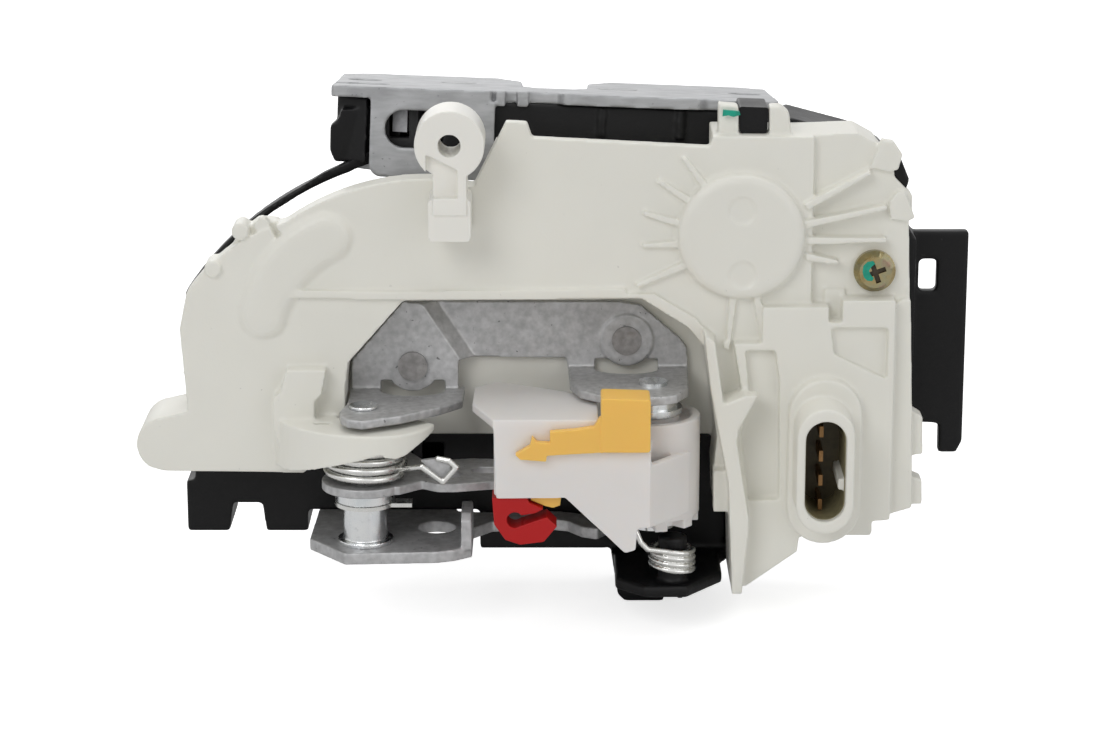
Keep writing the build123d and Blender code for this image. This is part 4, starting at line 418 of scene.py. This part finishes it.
# back of the base: bulge over the motor, ribs, and bosses with their holes
backForm = dict(
    face=32.5,
    motor=[(42.5, -5.0), (44.5, -7.0), (61.5, -7.0), (63.5, -5.0), (63.5, 17.5), (61.5, 19.5), (44.5, 19.5),
           (42.5, 17.5)],
    ribs=[((-66, -14), (42, -14)), ((-56, 2), (42, 2)), ((-46, -28), (-46, 12)), ((-18, -38), (-18, 30)),
          ((12, -46), (12, 30)), ((-56, 2), (-18, 26)), ((12, -30), (44, -30))],
    bosses=[(-60.0, -6.0), (-10.0, -10.0), (20.0, 22.0), (66.0, 27.0), (36.0, -22.0)],
)
formWork = {
    "actuator_cover": [
        ("cut", [(-11.3, 42.3), (31.0, 42.3), (31.0, 60), (-11.3, 60)], frontPlace, 3.0, 17.5),
        ("add", [(-11.2, 36.0), (-11.0, 42.3), (31.0, 42.3), (31.0, 45.0), (33.0, 45.0), (33.0, 40.5), (-9.0, 40.5),
                 (-9.2, 36.0)], frontPlace, 2.0, 15.9),
        ("cut", [(-63.6, 9.0), (-52.6, 9.0), (-52.6, 17.4), (-38.0, 17.8), (-38.0, 32.6), (-50, 33.0), (-63.6, 22)],
         frontPlace, -3.0, 0.0),
        *[("add", shrunk(padLine, inset), frontPlace, -rise, 0.6)
          for inset, rise in ((-0.2, 0.3), (0.2, 0.7), (0.7, 1.05), (1.3, 1.3), (2.1, 1.45))],
        ("cut", [(14.0, 15.9), (70.0, 15.9), (70.0, 46.9), (14.0, 46.9)], frontPlace, -6.0, 0.0),
        ("cut", [(32.0, 11.7), (44.0, 11.7), (44.0, 16.5), (32.0, 16.5)], frontPlace, -6.0, 0.0),
        ("cut", [(14.0, 17.3), (26.0, 17.3), (26.0, 14.9), (14.0, 14.9)], frontPlace, -6.0, -1.3),
        ("cut", [(51.1, 15.3), (69.0, 15.3), (69.0, 46.0), (51.1, 46.0)], frontPlace, -6.0, 2.0),
        ("cut", [(33.6, 6.2), (41.2, 6.2), (41.2, 12.6), (33.6, 12.6)], frontPlace, -4.0, 0.0),
        *[("add", ringOf(drumX, drumZ, drumRadius - inset, 64), frontPlace, -rise, 0.6)
          for inset, rise in ((-0.4, 0.5), (0.0, 2.2), (0.45, 2.6), (0.9, 2.85), (1.5, 3.0))],
        ("cut", ringOf(36.9, 33.1, 2.8), frontPlace, -4.0, -2.6),
        ("cut", ringOf(37.1, 20.1, 2.8), frontPlace, -4.0, -2.6),
        *[("add", barOf(start, end, 1.5), frontPlace, -1.3, 0.6) for end, start in coverForm["rayMarks"]],
        *[("add", barOf(start, end, 1.5), frontPlace, -1.0, 2.6) for end, start in coverForm["panelMarks"]],
        ("add", [(41.2, 10.0), (41.2, 13.6), (54.3, 13.6), (54.3, 10.4), (56.4, 10.4), (56.4, 7.6), (52.4, 7.6),
                 (52.4, 10.0)], frontPlace, -3.0, 2.4),
        ("add", [(57.0, 8.0), (57.0, 15.0), (67.5, 15.0), (67.6, 4.0), (64.0, 8.0)], frontPlace, -3.0, 2.4),
        ("cut", [(54.3, 10.4), (57.0, 10.4), (57.0, 16.0), (54.3, 16.0)], frontPlace, -4.0, 5.0),
        ("add", [(53.6, 9.0), (57.8, 9.0), (57.8, 16.4), (53.6, 16.4)], frontPlace, 1.2, 3.4),
        ("cut", [(54.8, 9.4), (55.5, 4.0), (66.1, -1.2), (66.1, 9.4)], frontPlace, -4.0, -1.3),
        ("cut", [(37.8, 4.7), (43.8, 4.7), (44.8, -2.0), (45.0, -26.3), (38.8, -26.5), (37.2, -13.0), (38.8, -4.0)],
         frontPlace, -4.0, -0.8),
        ("add", [(31.9, -28.8), (31.8, -20.2), (34.8, -20.2), (35.8, -28.8)], frontPlace, -3.0, 1.0),
        ("add", [(62.0, -28.0), (67.6, -26.0), (67.5, -30.6), (63.8, -30.8), (63.7, -33.8), (49.1, -33.9), (49.3, -32)],
         frontPlace, -3.0, 0.8),
        ("cut", [(-59.5, -22.5), (-18.0, -22.5), (-18.0, -8.9), (-43.9, -8.9), (-43.9, 1.7), (-58.2, 1.7),
                 (-59.5, -9.0)], frontPlace, -19.0, 0.0),
        ("add", [*skirtOuter, (-27.5, -3.0), (-43.6, -1.5), (-43.6, 0.8), (-56.5, 0.8)], levelPlace, -12.6, -9.4),
        ("add", [*skirtOuter, *skirtInner], levelPlace, -20.6, -9.6),
        ("cut", [(-62, -19.8), (-54.5, -19.4), (-51.0, -18.4), (-46, -16.7), (-41.3, -15.3), (-36.5, -13.9),
                 (-34.0, -13.2), (-33.3, -13.9), (-31.2, -14.3), (-29.4, -13.8), (-27.4, -12.5), (-24.5, -10.9),
                 (-22, -10.2), (-22, -25), (-62, -25)], frontPlace, -19.0, -0.2),
        ("cut", ringOf(-38.1, -4.6, 3.7), levelPlace, -14.0, -8.0),
        ("add", [(-53.4, 0.9), (-45.5, 0.9), (-46.6, -4.3), (-47.9, -5.6), (-48.0, -11.4), (-51.6, -11.8),
                 (-52.0, -16.4), (-54.9, -16.4), (-56.3, -11.0), (-56.2, -4.8), (-54.8, -4.0)], frontPlace, -3.6, 0.6),
        ("cut", [(-47.9, -6.4), (-44.7, -6.4), (-44.7, -4.9), (-47.9, -4.9)], levelPlace, -12.0, -9.0),
        ("add", [(-59.6, 29.0), (-58.2, 31.3), (-57.2, 30.9), (-55.4, 28.2), (-57.0, 26.0)], frontPlace, 0.3, 3.0),
        ("cut", [(-56.6, 29.6), (-55.6, 29.8), (-54.0, 27.6), (-55.2, 26.9)], frontPlace, -1.0, 2.2),
        ("add", [(62.0, 41.0), (64.3, 46.6), (66.6, 46.2), (68.4, 43.6), (67.6, 40.6), (65.6, 40.2)], frontPlace,
         0.6, 3.4),
        ("add", [(66.0, 34.0), (67.6, 36.2), (69.2, 36.0), (71.2, 30.9), (69.8, 30.2), (66.4, 30.6)], frontPlace,
         0.6, 4.4),
        ("add", ringOf(-62.2, 28.4, 1.75, 24), frontPlace, -0.9, 6.0),
        ("add", ringOf(-67.8, 20.8, 1.75, 24), frontPlace, -0.9, 6.0),
    ],
    "latch_plate": [
        ("add", [(-37.0, -8.0), (-37.0, -15.5), *arcOf((-37.0, -15.5), (-36.25, -17.35), (-34.4, -18.1)),
                 *arcOf((-14.6, -18.1), (-12.75, -17.35), (-12.0, -15.5)), (-12.0, -15.5), (-12.0, -8.0),
                 (-14.0, -12.6), (-35.0, -12.6)], plateFront, -23.0, -20.7),
        ("add", [(-12.0, -22.4), (-10.0, -22.4), (-10.0, -20.0), (-12.0, -20.0)], platePlace, 0.0, 3.0),
        ("add", [(-7.6, -22.4), (-5.4, -22.4), (-5.4, -20.0), (-7.6, -20.0)], platePlace, 0.0, 3.0),
    ],
    "latch_case": [
        ("add", [(8.9, -21.2), (10.2, -21.2), (10.2, -20.0), (8.9, -20.0)], platePlace, 2.6, 8.3),
        ("add", [(24.8, -21.2), (26.1, -21.2), (26.1, -20.0), (24.8, -20.0)], platePlace, 2.6, 8.3),
        ("add", [(-43.0, 49.6), (-43.7, 47.5), (-45.4, 46.0), (-45.6, 41.0), (-44.6, 38.6), (-37.2, 38.6),
                 (-37.2, 49.6)], frontPlace, 18.6, 21.0),
    ],
    "latch_back_plate": [
        ("cut", [(-47, -25), (-36.8, -25), (-36.8, -15.2), (-43.2, -8), (-47, -8)], platePlace, 14.0, 19.0),
    ],
    "actuator_base": [
        ("add", [(-36.5, 24.0), (-9.0, 24.0), (-9.0, 33.0), (-36.5, 33.6)], frontPlace, 22.9, 25.0),
        ("add", [(65.8, 42.4), (68.2, 42.8), (70.2, 38.0), (69.3, 35.4), (66.6, 36.6)], frontPlace, 3.0, 9.0),
        *[("add", shrunk(backForm["motor"], inset), frontPlace, 31.8, backForm["face"] + rise)
          for inset, rise in ((-0.6, 0.7), (0.0, 1.6), (0.8, 2.1))],
        *[("add", barOf(start, end, 1.3), frontPlace, 31.8, backForm["face"] + 1.1) for start, end in backForm["ribs"]],
        *[("add", ringOf(*spot, 3.6), frontPlace, 31.8, backForm["face"] + 1.5) for spot in backForm["bosses"]],
        *[("cut", ringOf(*spot, 1.3, 20), frontPlace, backForm["face"] - 1.0, backForm["face"] + 3.0)
          for spot in backForm["bosses"]],
        ("add", [(-57.0, 28.6), (-47.5, 34.7), (-37.4, 38.4), (-37.4, 41.0), (-46.8, 36.6), (-57.9, 29.7)], frontPlace,
         17.8, 20.0),
    ],
    "handle_cam": [
        ("cut", [(-20, -20), (7.0, -20), (7.0, 14), (-20, 14)], levelPlace, -5.3, 3.0),
        ("add", [(17.2, -17.0), (18.7, -17.8), (27.0, -7.6), (25.4, -6.6)], levelPlace, -27.4, -14.8),
    ],
    "transport_clip": [
        ("cut", [(-10, -15), (8.95, -15), (8.95, 1), (-10, 1)], frontPlace, -22.0, -10.0),
        ("add", [(-7.8, -11.8), (-4.9, -10.1), (-4.5, -8.2), (-3.5, -9.3), (-1.0, -9.5), (-1.0, -7.2), (3.9, -6.8),
                 (7.6, -6.2), (8.6, -4.4), (10.0, -4.4), (10.0, -11.3), (-1.6, -12.0), (-1.7, -13.2), (-6.8, -12.8)],
         frontPlace, -20.0, -18.15),
    ],
}
freshForms = {
    "cable_hook": [
        ("add", [(-12.4, -21.5), (-5.6, -21.3), (-5.1, -22.5), (-2.2, -23.8), (-3.9, -24.7), (-6.4, -25.1),
                 (-6.5, -27.2), (-1.6, -25.5), (0.4, -27.4), (-2.2, -30.6), (-6.9, -31.2), (-9.8, -30.2),
                 (-12.0, -27.0)], frontPlace, -17.0, -11.2),
        ("cut", ringOf(-7.9, -26.1, 1.6, 24), frontPlace, -18.0, -10.0),
        ("cut", [(-7.9, -25.1), (-6.0, -25.1), (-6.0, -27.2), (-7.9, -27.2)], frontPlace, -18.0, -10.0),
        ("add", [(-10.0, -22.4), (-5.7, -22.4), (-5.7, -14.0), (-10.0, -14.0)], frontPlace, -15.95, -13.4),
    ],
    "cable_keeper": [
        ("add", [(-4.8, -20.8), (-4.8, -22.3), (-2.0, -23.5), (-0.4, -23.9), (1.0, -23.4), (1.3, -21.0), (1.3, -14.0),
                 (-2.0, -14.0), (-2.2, -20.6)], frontPlace, -15.95, -11.6),
    ],
    "lever_bracket": [
        ("add", [(-0.9, 10.0), (0.0, 10.0), (2.6, 13.0), (3.5, 13.0), (3.5, 14.8), (2.2, 14.8), (-0.4, 11.8),
                 (-0.9, 11.8)], rampPlace, 0.0, 40.0),
        ("cut", [(-60, 11.2), (0, 11.0), (0, 40), (-60, 40)], frontPlace, 5.0, 20.0),
        ("cut", [(-60, -0.7), (0, -0.7), (0, -40), (-60, -40)], frontPlace, 5.0, 20.0),
        ("add", [(-30.7, 11.6), (-41.2, -0.6), (-41.5, -7.2), (-19.7, -7.2), (-19.6, -0.3), (-27.1, 11.2)],
         frontPlace, 10.0, 11.8),
        ("add", [(-23.8, 11.0), (13.2, 10.8), (17.3, 10.2), (25.4, 3.2), (26.9, 1.2), (27.2, -3.4), (2.7, -3.4),
                 (2.2, -0.9), (-15.9, -0.7)], frontPlace, 13.0, 14.75),
        ("add", [(-41.5, 11.8), (-41.6, -1.0), (-42.8, -7.5), (-42.3, -10.6), (-40.9, -13.0), (-37.9, -14.3),
                 (-30.6, -10.4), (-22.9, -3.9), (-18.6, 1.3), (-18.4, 11.8)], levelPlace, -8.4, -6.6),
        ("add", [(2.7, 14.75), (3.0, 1.1), (5.0, -4.9), (8.9, -8.6), (16.7, -10.9), (21.8, -10.0), (24.2, -8.4),
                 (26.6, -3.4), (27.2, 14.75)], levelPlace, -4.6, -2.8),
        ("cut", ovalOf(-28.9, 9.0, 6.4, 4.2), levelPlace, -10.0, -5.8),
        ("cut", ovalOf(14.6, 12.0, 6.4, 4.2), levelPlace, -6.0, -2.0),
        ("cut", [(-35.4, -10), (-22.4, -10), (-22.4, -4.9), (-35.4, -4.9)], frontPlace, 9.0, 12.2),
        ("cut", [(8.2, -6), (21.0, -6), (21.0, -1.1), (8.2, -1.1)], frontPlace, 12.4, 15.2),
        ("add", ringOf(-28.9, -1.8, 5.4), frontPlace, 10.0, 11.8),
        ("add", ringOf(14.6, 2.8, 5.4), frontPlace, 12.65, 14.75),
        ("add", ringOf(-28.9, -1.8, 2.6), frontPlace, 10.0, 14.7),
        ("cut", ringOf(-38.1, -4.6, 2.25, 24), levelPlace, -9.0, -6.0),
        ("cut", ringOf(19.6, -0.4, 2.25, 24), levelPlace, -5.0, -2.0),
    ],
    "lever_pin": [
        ("add", ringOf(-38.1, -4.6, 2.6), levelPlace, -36.8, -34.0),
        ("add", ringOf(-38.1, -4.6, 5.6), levelPlace, -34.4, -33.5),
        ("add", ringOf(-38.1, -4.6, 4.4, 56), levelPlace, -34.0, -24.0),
        ("add", ringOf(-38.1, -4.6, 5.9, 56), levelPlace, -25.6, -23.3),
        ("add", ringOf(-38.1, -4.6, 3.0), levelPlace, -24.0, -8.4),
        ("add", ringOf(-38.1, -4.6, 2.2), levelPlace, -9.0, -6.0),
        ("add", ringOf(-38.1, -4.6, 2.9), levelPlace, -6.6, -5.9),
    ],
}


def softened(nodeName, pieceName, grain, passes, most):
    # a merged copy of the node with its forms worked in, remade in even cells of one grain and eased at every edge
    if nodeName in freshForms:
        (_, outline, place, near, far), *steps = freshForms[nodeName]
        piece = slab(outline, place, near, far)
    else:
        steps = formWork.get(nodeName, [])
        piece = bpy.data.objects.new(pieceName, nodes[nodeName].data.copy())
        scene.collection.objects.link(piece)
        selectOnly(piece)
        bpy.ops.object.mode_set(mode="EDIT")
        bpy.ops.mesh.select_all(action="SELECT")
        bpy.ops.mesh.remove_doubles(threshold=0.002 * mm)
        bpy.ops.object.mode_set(mode="OBJECT")
    for way, outline, place, near, far in steps:
        work(piece, slab(outline, place, near, far), way)
    easeCells(piece, grain, passes)
    fewer = piece.modifiers.new("fewer", "DECIMATE")
    fewer.ratio = min(1.0, most / (2.0 * len(piece.data.polygons)))
    bpy.ops.object.modifier_apply(modifier="fewer")
    finishPiece(piece, pieceName, bodyOf[nodeName], slotOf[nodeName], 50)
    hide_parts(nodeName)
    return piece


# node: piece name, grain in mm, passes, most triangles
softPieces = dict(
    actuator_cover=("coverMoulding", 0.33, 3, 190000),
    actuator_base=("baseMoulding", 0.45, 3, 120000),
    latch_case=("latchCaseMoulding", 0.4, 3, 60000),
    latch_plate=("shutFacePlate", 0.3, 2, 60000),
    latch_back_plate=("backPlate", 0.3, 2, 40000),
    lever_bracket=("nicheBracket", 0.25, 3, 60000),
    lower_bracket=("footBracket", 0.25, 3, 50000),
    release_lever=("leverPressing", 0.2, 2, 40000),
    release_link=("linkPressing", 0.2, 2, 20000),
    handle_cam=("camMoulding", 0.22, 3, 80000),
    transport_clip=("pullOffClip", 0.15, 3, 30000),
    cable_hook=("cableHookMoulding", 0.15, 4, 30000),
    cable_keeper=("keeperMoulding", 0.12, 3, 12000),
    lock_lever=("lockLeverMoulding", 0.2, 4, 40000),
    lever_pin=("leverPost", 0.15, 3, 40000),
)
for nodeName, (pieceName, grain, passes, most) in softPieces.items():
    piece = softened(nodeName, pieceName, grain, passes, most)
    print("  eased", pieceName, len(piece.data.polygons), "faces")
# the link is coloured near black as painted shade, so the tab's slot reads dark
bpy.data.objects["linkPressing"].data.materials[0] = steelFinish("linkPaintedShade", dict(
    colour=(0.02, 0.02, 0.021), mottle=0.2, specks=0.4, stains=0.3, roughness=0.6, metallic=0.2))
print("stage 3: edges eased")


def dabPaint(name, colour, roughness=0.4):
    material, tree, shader, place = newFinish(name)
    tree.links.new(rampOf(tree, noiseOf(tree, place, 0.0012, 3.0), [(0.35, tint(colour, 0.75)), (0.65, colour)]),
                   shader.inputs["Base Color"])
    shader.inputs["Roughness"].default_value = roughness
    return material


def addedPiece(piece, name, carrier, slot, finish=None, sharp=32):
    finishPiece(piece, name, bodyOf[carrier], slot, sharp)
    if finish:
        piece.data.materials.clear()
        piece.data.materials.append(finish)
    return piece


def wireOf(places, radius, grain=0.13):
    # round rods from place to place with a ball at each bend, fused and eased
    places = [housing(*place) for place in places]
    bpy.ops.object.select_all(action="DESELECT")
    rods = []
    for start, end in zip(places, places[1:]):
        run = end - start
        bpy.ops.mesh.primitive_cylinder_add(vertices=20, radius=radius * mm, depth=run.length,
                                            location=(start + end) / 2, rotation=run.to_track_quat("Z", "Y").to_euler())
        rods.append(bpy.context.object)
    for place in places:
        bpy.ops.mesh.primitive_uv_sphere_add(segments=20, ring_count=12, radius=radius * mm, location=place)
        rods.append(bpy.context.object)
    for rod in rods:
        rod.select_set(True)
    bpy.context.view_layer.objects.active = rods[0]
    bpy.ops.object.join()
    bpy.ops.object.transform_apply(location=True, rotation=True, scale=True)
    wire = bpy.context.object
    easeCells(wire, grain, 4)
    return wire


def stadiumOf(across, up, halfAcross, halfUp, count=12):
    # a slot outline with round ends above and below
    straight = halfUp - halfAcross
    bend = [(halfAcross * math.cos(math.pi * step / count), halfAcross * math.sin(math.pi * step / count))
            for step in range(count + 1)]
    return [(across + x, up + straight + y) for x, y in bend] + [(across - x, up - straight - y) for x, y in bend]


# legs of the two open springs
leverHook = dict(
    path=[(-31.2, -7.4, -18.6), (-28.4, -10.0, -17.4), (-26.4, -11.0, -16.9), (-22.2, -11.0, -20.1),
          (-19.5, -11.0, -17.0), (-21.0, -10.6, -15.8), (-23.2, -10.2, -15.5)],
    radius=0.62,
)
addedPiece(wireOf(leverHook["path"], leverHook["radius"]), "returnSpringHook", "release_lever", "spring_wire")
hookTongue = slab([(-26.6, -15.9), (-22.4, -15.4), (-20.6, -16.4), (-20.9, -18.4), (-22.2, -19.6), (-24.4, -18.3)],
                  frontPlace, -10.0, -9.0)
addedPiece(hookTongue, "springTongue", "release_lever", "bracket_steel")
camCoil = dict(across=23.6, deep=-3.6, foot=-40.6, radius=4.25, rise=1.28, turns=3.75, wire=0.6, lean=0.09, perTurn=26,
               leg=[(18.6, -8.3, -35.0), (17.2, -8.0, -33.6), (16.2, -7.4, -31.4)])
coilPath = []
for step in range(int(camCoil["turns"] * camCoil["perTurn"]) + 1):
    turn = math.radians(160) - 2 * math.pi * step / camCoil["perTurn"]
    coilPath.append((camCoil["across"] + camCoil["radius"] * math.cos(turn),
                     camCoil["deep"] + camCoil["radius"] * math.sin(turn),
                     camCoil["foot"] + camCoil["rise"] * step / camCoil["perTurn"]
                     - camCoil["lean"] * camCoil["radius"] * math.cos(turn)))
camReturnSpring = wireOf([*coilPath, *camCoil["leg"]], camCoil["wire"])
addedPiece(camReturnSpring, "camReturnSpring", "cam_spring", "spring_wire")
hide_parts("cam_spring")

# painted shade: the dark foot and lining of the plug socket are coloured as its ivory inside looks in shade
socketPlace = dict(across=53.2, up=-16.6, halfAcross=3.95, halfUp=10.2)
socketDark = dabPaint("socketShade", (0.1, 0.08, 0.035), 0.5)


def socketLine(spare):
    return stadiumOf(socketPlace["across"], socketPlace["up"], socketPlace["halfAcross"] + spare,
                     socketPlace["halfUp"] + spare)


footPlate = slab(socketLine(0.0), frontPlace, -1.2, 0.7)
addedPiece(footPlate, "socketFoot", "actuator_cover", "ivory_plastic", socketDark)
lining = slab(socketLine(0.1), frontPlace, -14.4, 0.3)
work(lining, slab(socketLine(-0.12), frontPlace, -15.0, 1.0), "cut")
addedPiece(lining, "socketLining", "actuator_cover", "ivory_plastic", dabPaint("liningShade", (0.26, 0.23, 0.13), 0.45))

# cross of the cover screw, a dark plug as painted shade in its recess, and the inspector's green dabs
screwSpot = dict(across=63.5, up=20.1)
crossHalf, crossArm = 2.15, 0.47
crossTurn = math.radians(20)
cross = [(crossArm, crossArm), (crossHalf, crossArm), (crossHalf, -crossArm), (crossArm, -crossArm)]
crossLine = []
for quarter in range(4):
    for across, up in reversed(cross):
        turn = crossTurn + quarter * math.pi / 2
        crossLine.append((screwSpot["across"] + across * math.cos(turn) - up * math.sin(turn),
                          screwSpot["up"] + across * math.sin(turn) + up * math.cos(turn)))
addedPiece(slab(crossLine, frontPlace, 0.25, 0.85), "screwCrossShade", "cover_screw", "gold_zinc",
           dabPaint("crossShade", (0.05, 0.035, 0.015), 0.5))
dabGreen = dabPaint("inspectionGreen", (0.0, 0.36, 0.24), 0.35)
dabLine = [(60.95, 20.3), (61.1, 21.5), (61.9, 22.3), (63.0, 22.5), (63.4, 21.9), (62.7, 21.3), (62.2, 20.5),
           (62.6, 19.6), (63.2, 19.0), (62.9, 18.4), (61.9, 18.5), (61.2, 19.2)]
addedPiece(slab(dabLine, frontPlace, -0.56, 0.5), "screwDab", "cover_screw", "gold_zinc", dabGreen)
clipDabLine = [(32.9, 52.7), (36.1, 52.4), (36.3, 51.7), (35.0, 51.3), (33.9, 51.6), (32.8, 51.4)]
addedPiece(slab(clipDabLine, frontPlace, -0.04, 0.6), "clipDab", "actuator_cover", "ivory_plastic", dabGreen)
print("stage 4: springs, socket and dabs added")

# floor, lamps, camera
studio = dict(
    floorHalf=3.0, floorColour=0.92, floorGlow=0.7, ambient=0.3,
    lamps=[("keyLamp", (-0.55, -0.95, 0.75), 0.7, 4.6), ("fillLamp", (0.8, -0.9, 0.25), 0.8, 1.6),
           ("topLamp", (0.1, 0.1, 0.95), 0.8, 3.4), ("rearLamp", (-0.3, 1.0, 0.5), 0.8, 1.6)],
    distance=0.632, elevation=15.0, focalPixels=3160.0, imageWidth=1110.0, sensor=36.0,
)
floorMesh = bpy.data.meshes.new("floor")
half = studio["floorHalf"]
floorHeight = cadBox[0][2] - 0.0002
floorMesh.from_pydata([(-half, -half, floorHeight), (half, -half, floorHeight), (half, half, floorHeight),
                       (-half, half, floorHeight)], [], [(0, 1, 2, 3)])
floor = bpy.data.objects.new("floor", floorMesh)
scene.collection.objects.link(floor)
floorPaint = bpy.data.materials.new("floorPaint")
floorPaint.use_nodes = True
floorTree = floorPaint.node_tree
floorShader = floorTree.nodes["Principled BSDF"]
floorShader.inputs["Base Color"].default_value = (*grey(studio["floorColour"]), 1.0)
floorShader.inputs["Roughness"].default_value = 0.9
floorShader.inputs["Specular IOR Level"].default_value = 0.1
floorRays = floorTree.nodes.new("ShaderNodeLightPath")
floorGlow = floorTree.nodes.new("ShaderNodeMath")
floorGlow.operation = "MULTIPLY"
floorGlow.inputs[1].default_value = studio["floorGlow"]
floorTree.links.new(floorRays.outputs["Is Camera Ray"], floorGlow.inputs[0])
floorShader.inputs["Emission Color"].default_value = (1.0, 1.0, 1.0, 1.0)
floorTree.links.new(floorGlow.outputs[0], floorShader.inputs["Emission Strength"])
floorMesh.materials.append(floorPaint)

world = bpy.data.worlds.new("studioWorld")
scene.world = world
world.use_nodes = True
worldTree = world.node_tree
background = worldTree.nodes["Background"]
background.inputs["Color"].default_value = (1.0, 1.0, 1.0, 1.0)
rays = worldTree.nodes.new("ShaderNodeLightPath")
seen = rays.outputs["Is Camera Ray"]
for kind in ("Is Glossy Ray", "Is Transmission Ray"):
    either = worldTree.nodes.new("ShaderNodeMath")
    either.operation = "MAXIMUM"
    worldTree.links.new(seen, either.inputs[0])
    worldTree.links.new(rays.outputs[kind], either.inputs[1])
    seen = either.outputs[0]
level = worldTree.nodes.new("ShaderNodeMapRange")
level.inputs["To Min"].default_value = studio["ambient"]
level.inputs["To Max"].default_value = 1.0
worldTree.links.new(seen, level.inputs["Value"])
worldTree.links.new(level.outputs["Result"], background.inputs["Strength"])

for lampName, spot, size, power in studio["lamps"]:
    lamp = bpy.data.lights.new(lampName, "AREA")
    lamp.shape = "DISK"
    lamp.size = size
    lamp.energy = power
    lampObject = bpy.data.objects.new(lampName, lamp)
    scene.collection.objects.link(lampObject)
    lampObject.location = datum + Vector(spot)
    lampObject.rotation_euler = (-Vector(spot)).to_track_quat("-Z", "Y").to_euler()

camera = bpy.data.cameras.new("camera")
camera.sensor_width = studio["sensor"]
camera.lens = studio["sensor"] * studio["focalPixels"] / studio["imageWidth"]
camera.clip_start = 0.01
cameraObject = bpy.data.objects.new("camera", camera)
scene.collection.objects.link(cameraObject)
rise = math.radians(studio["elevation"])
cameraObject.location = datum + Vector((0, -math.cos(rise), math.sin(rise))) * studio["distance"]
cameraObject.rotation_euler = (math.radians(90) - rise, 0, 0)
scene.camera = cameraObject
scene.view_settings.view_transform = "Standard"
print("stage 5: studio set")
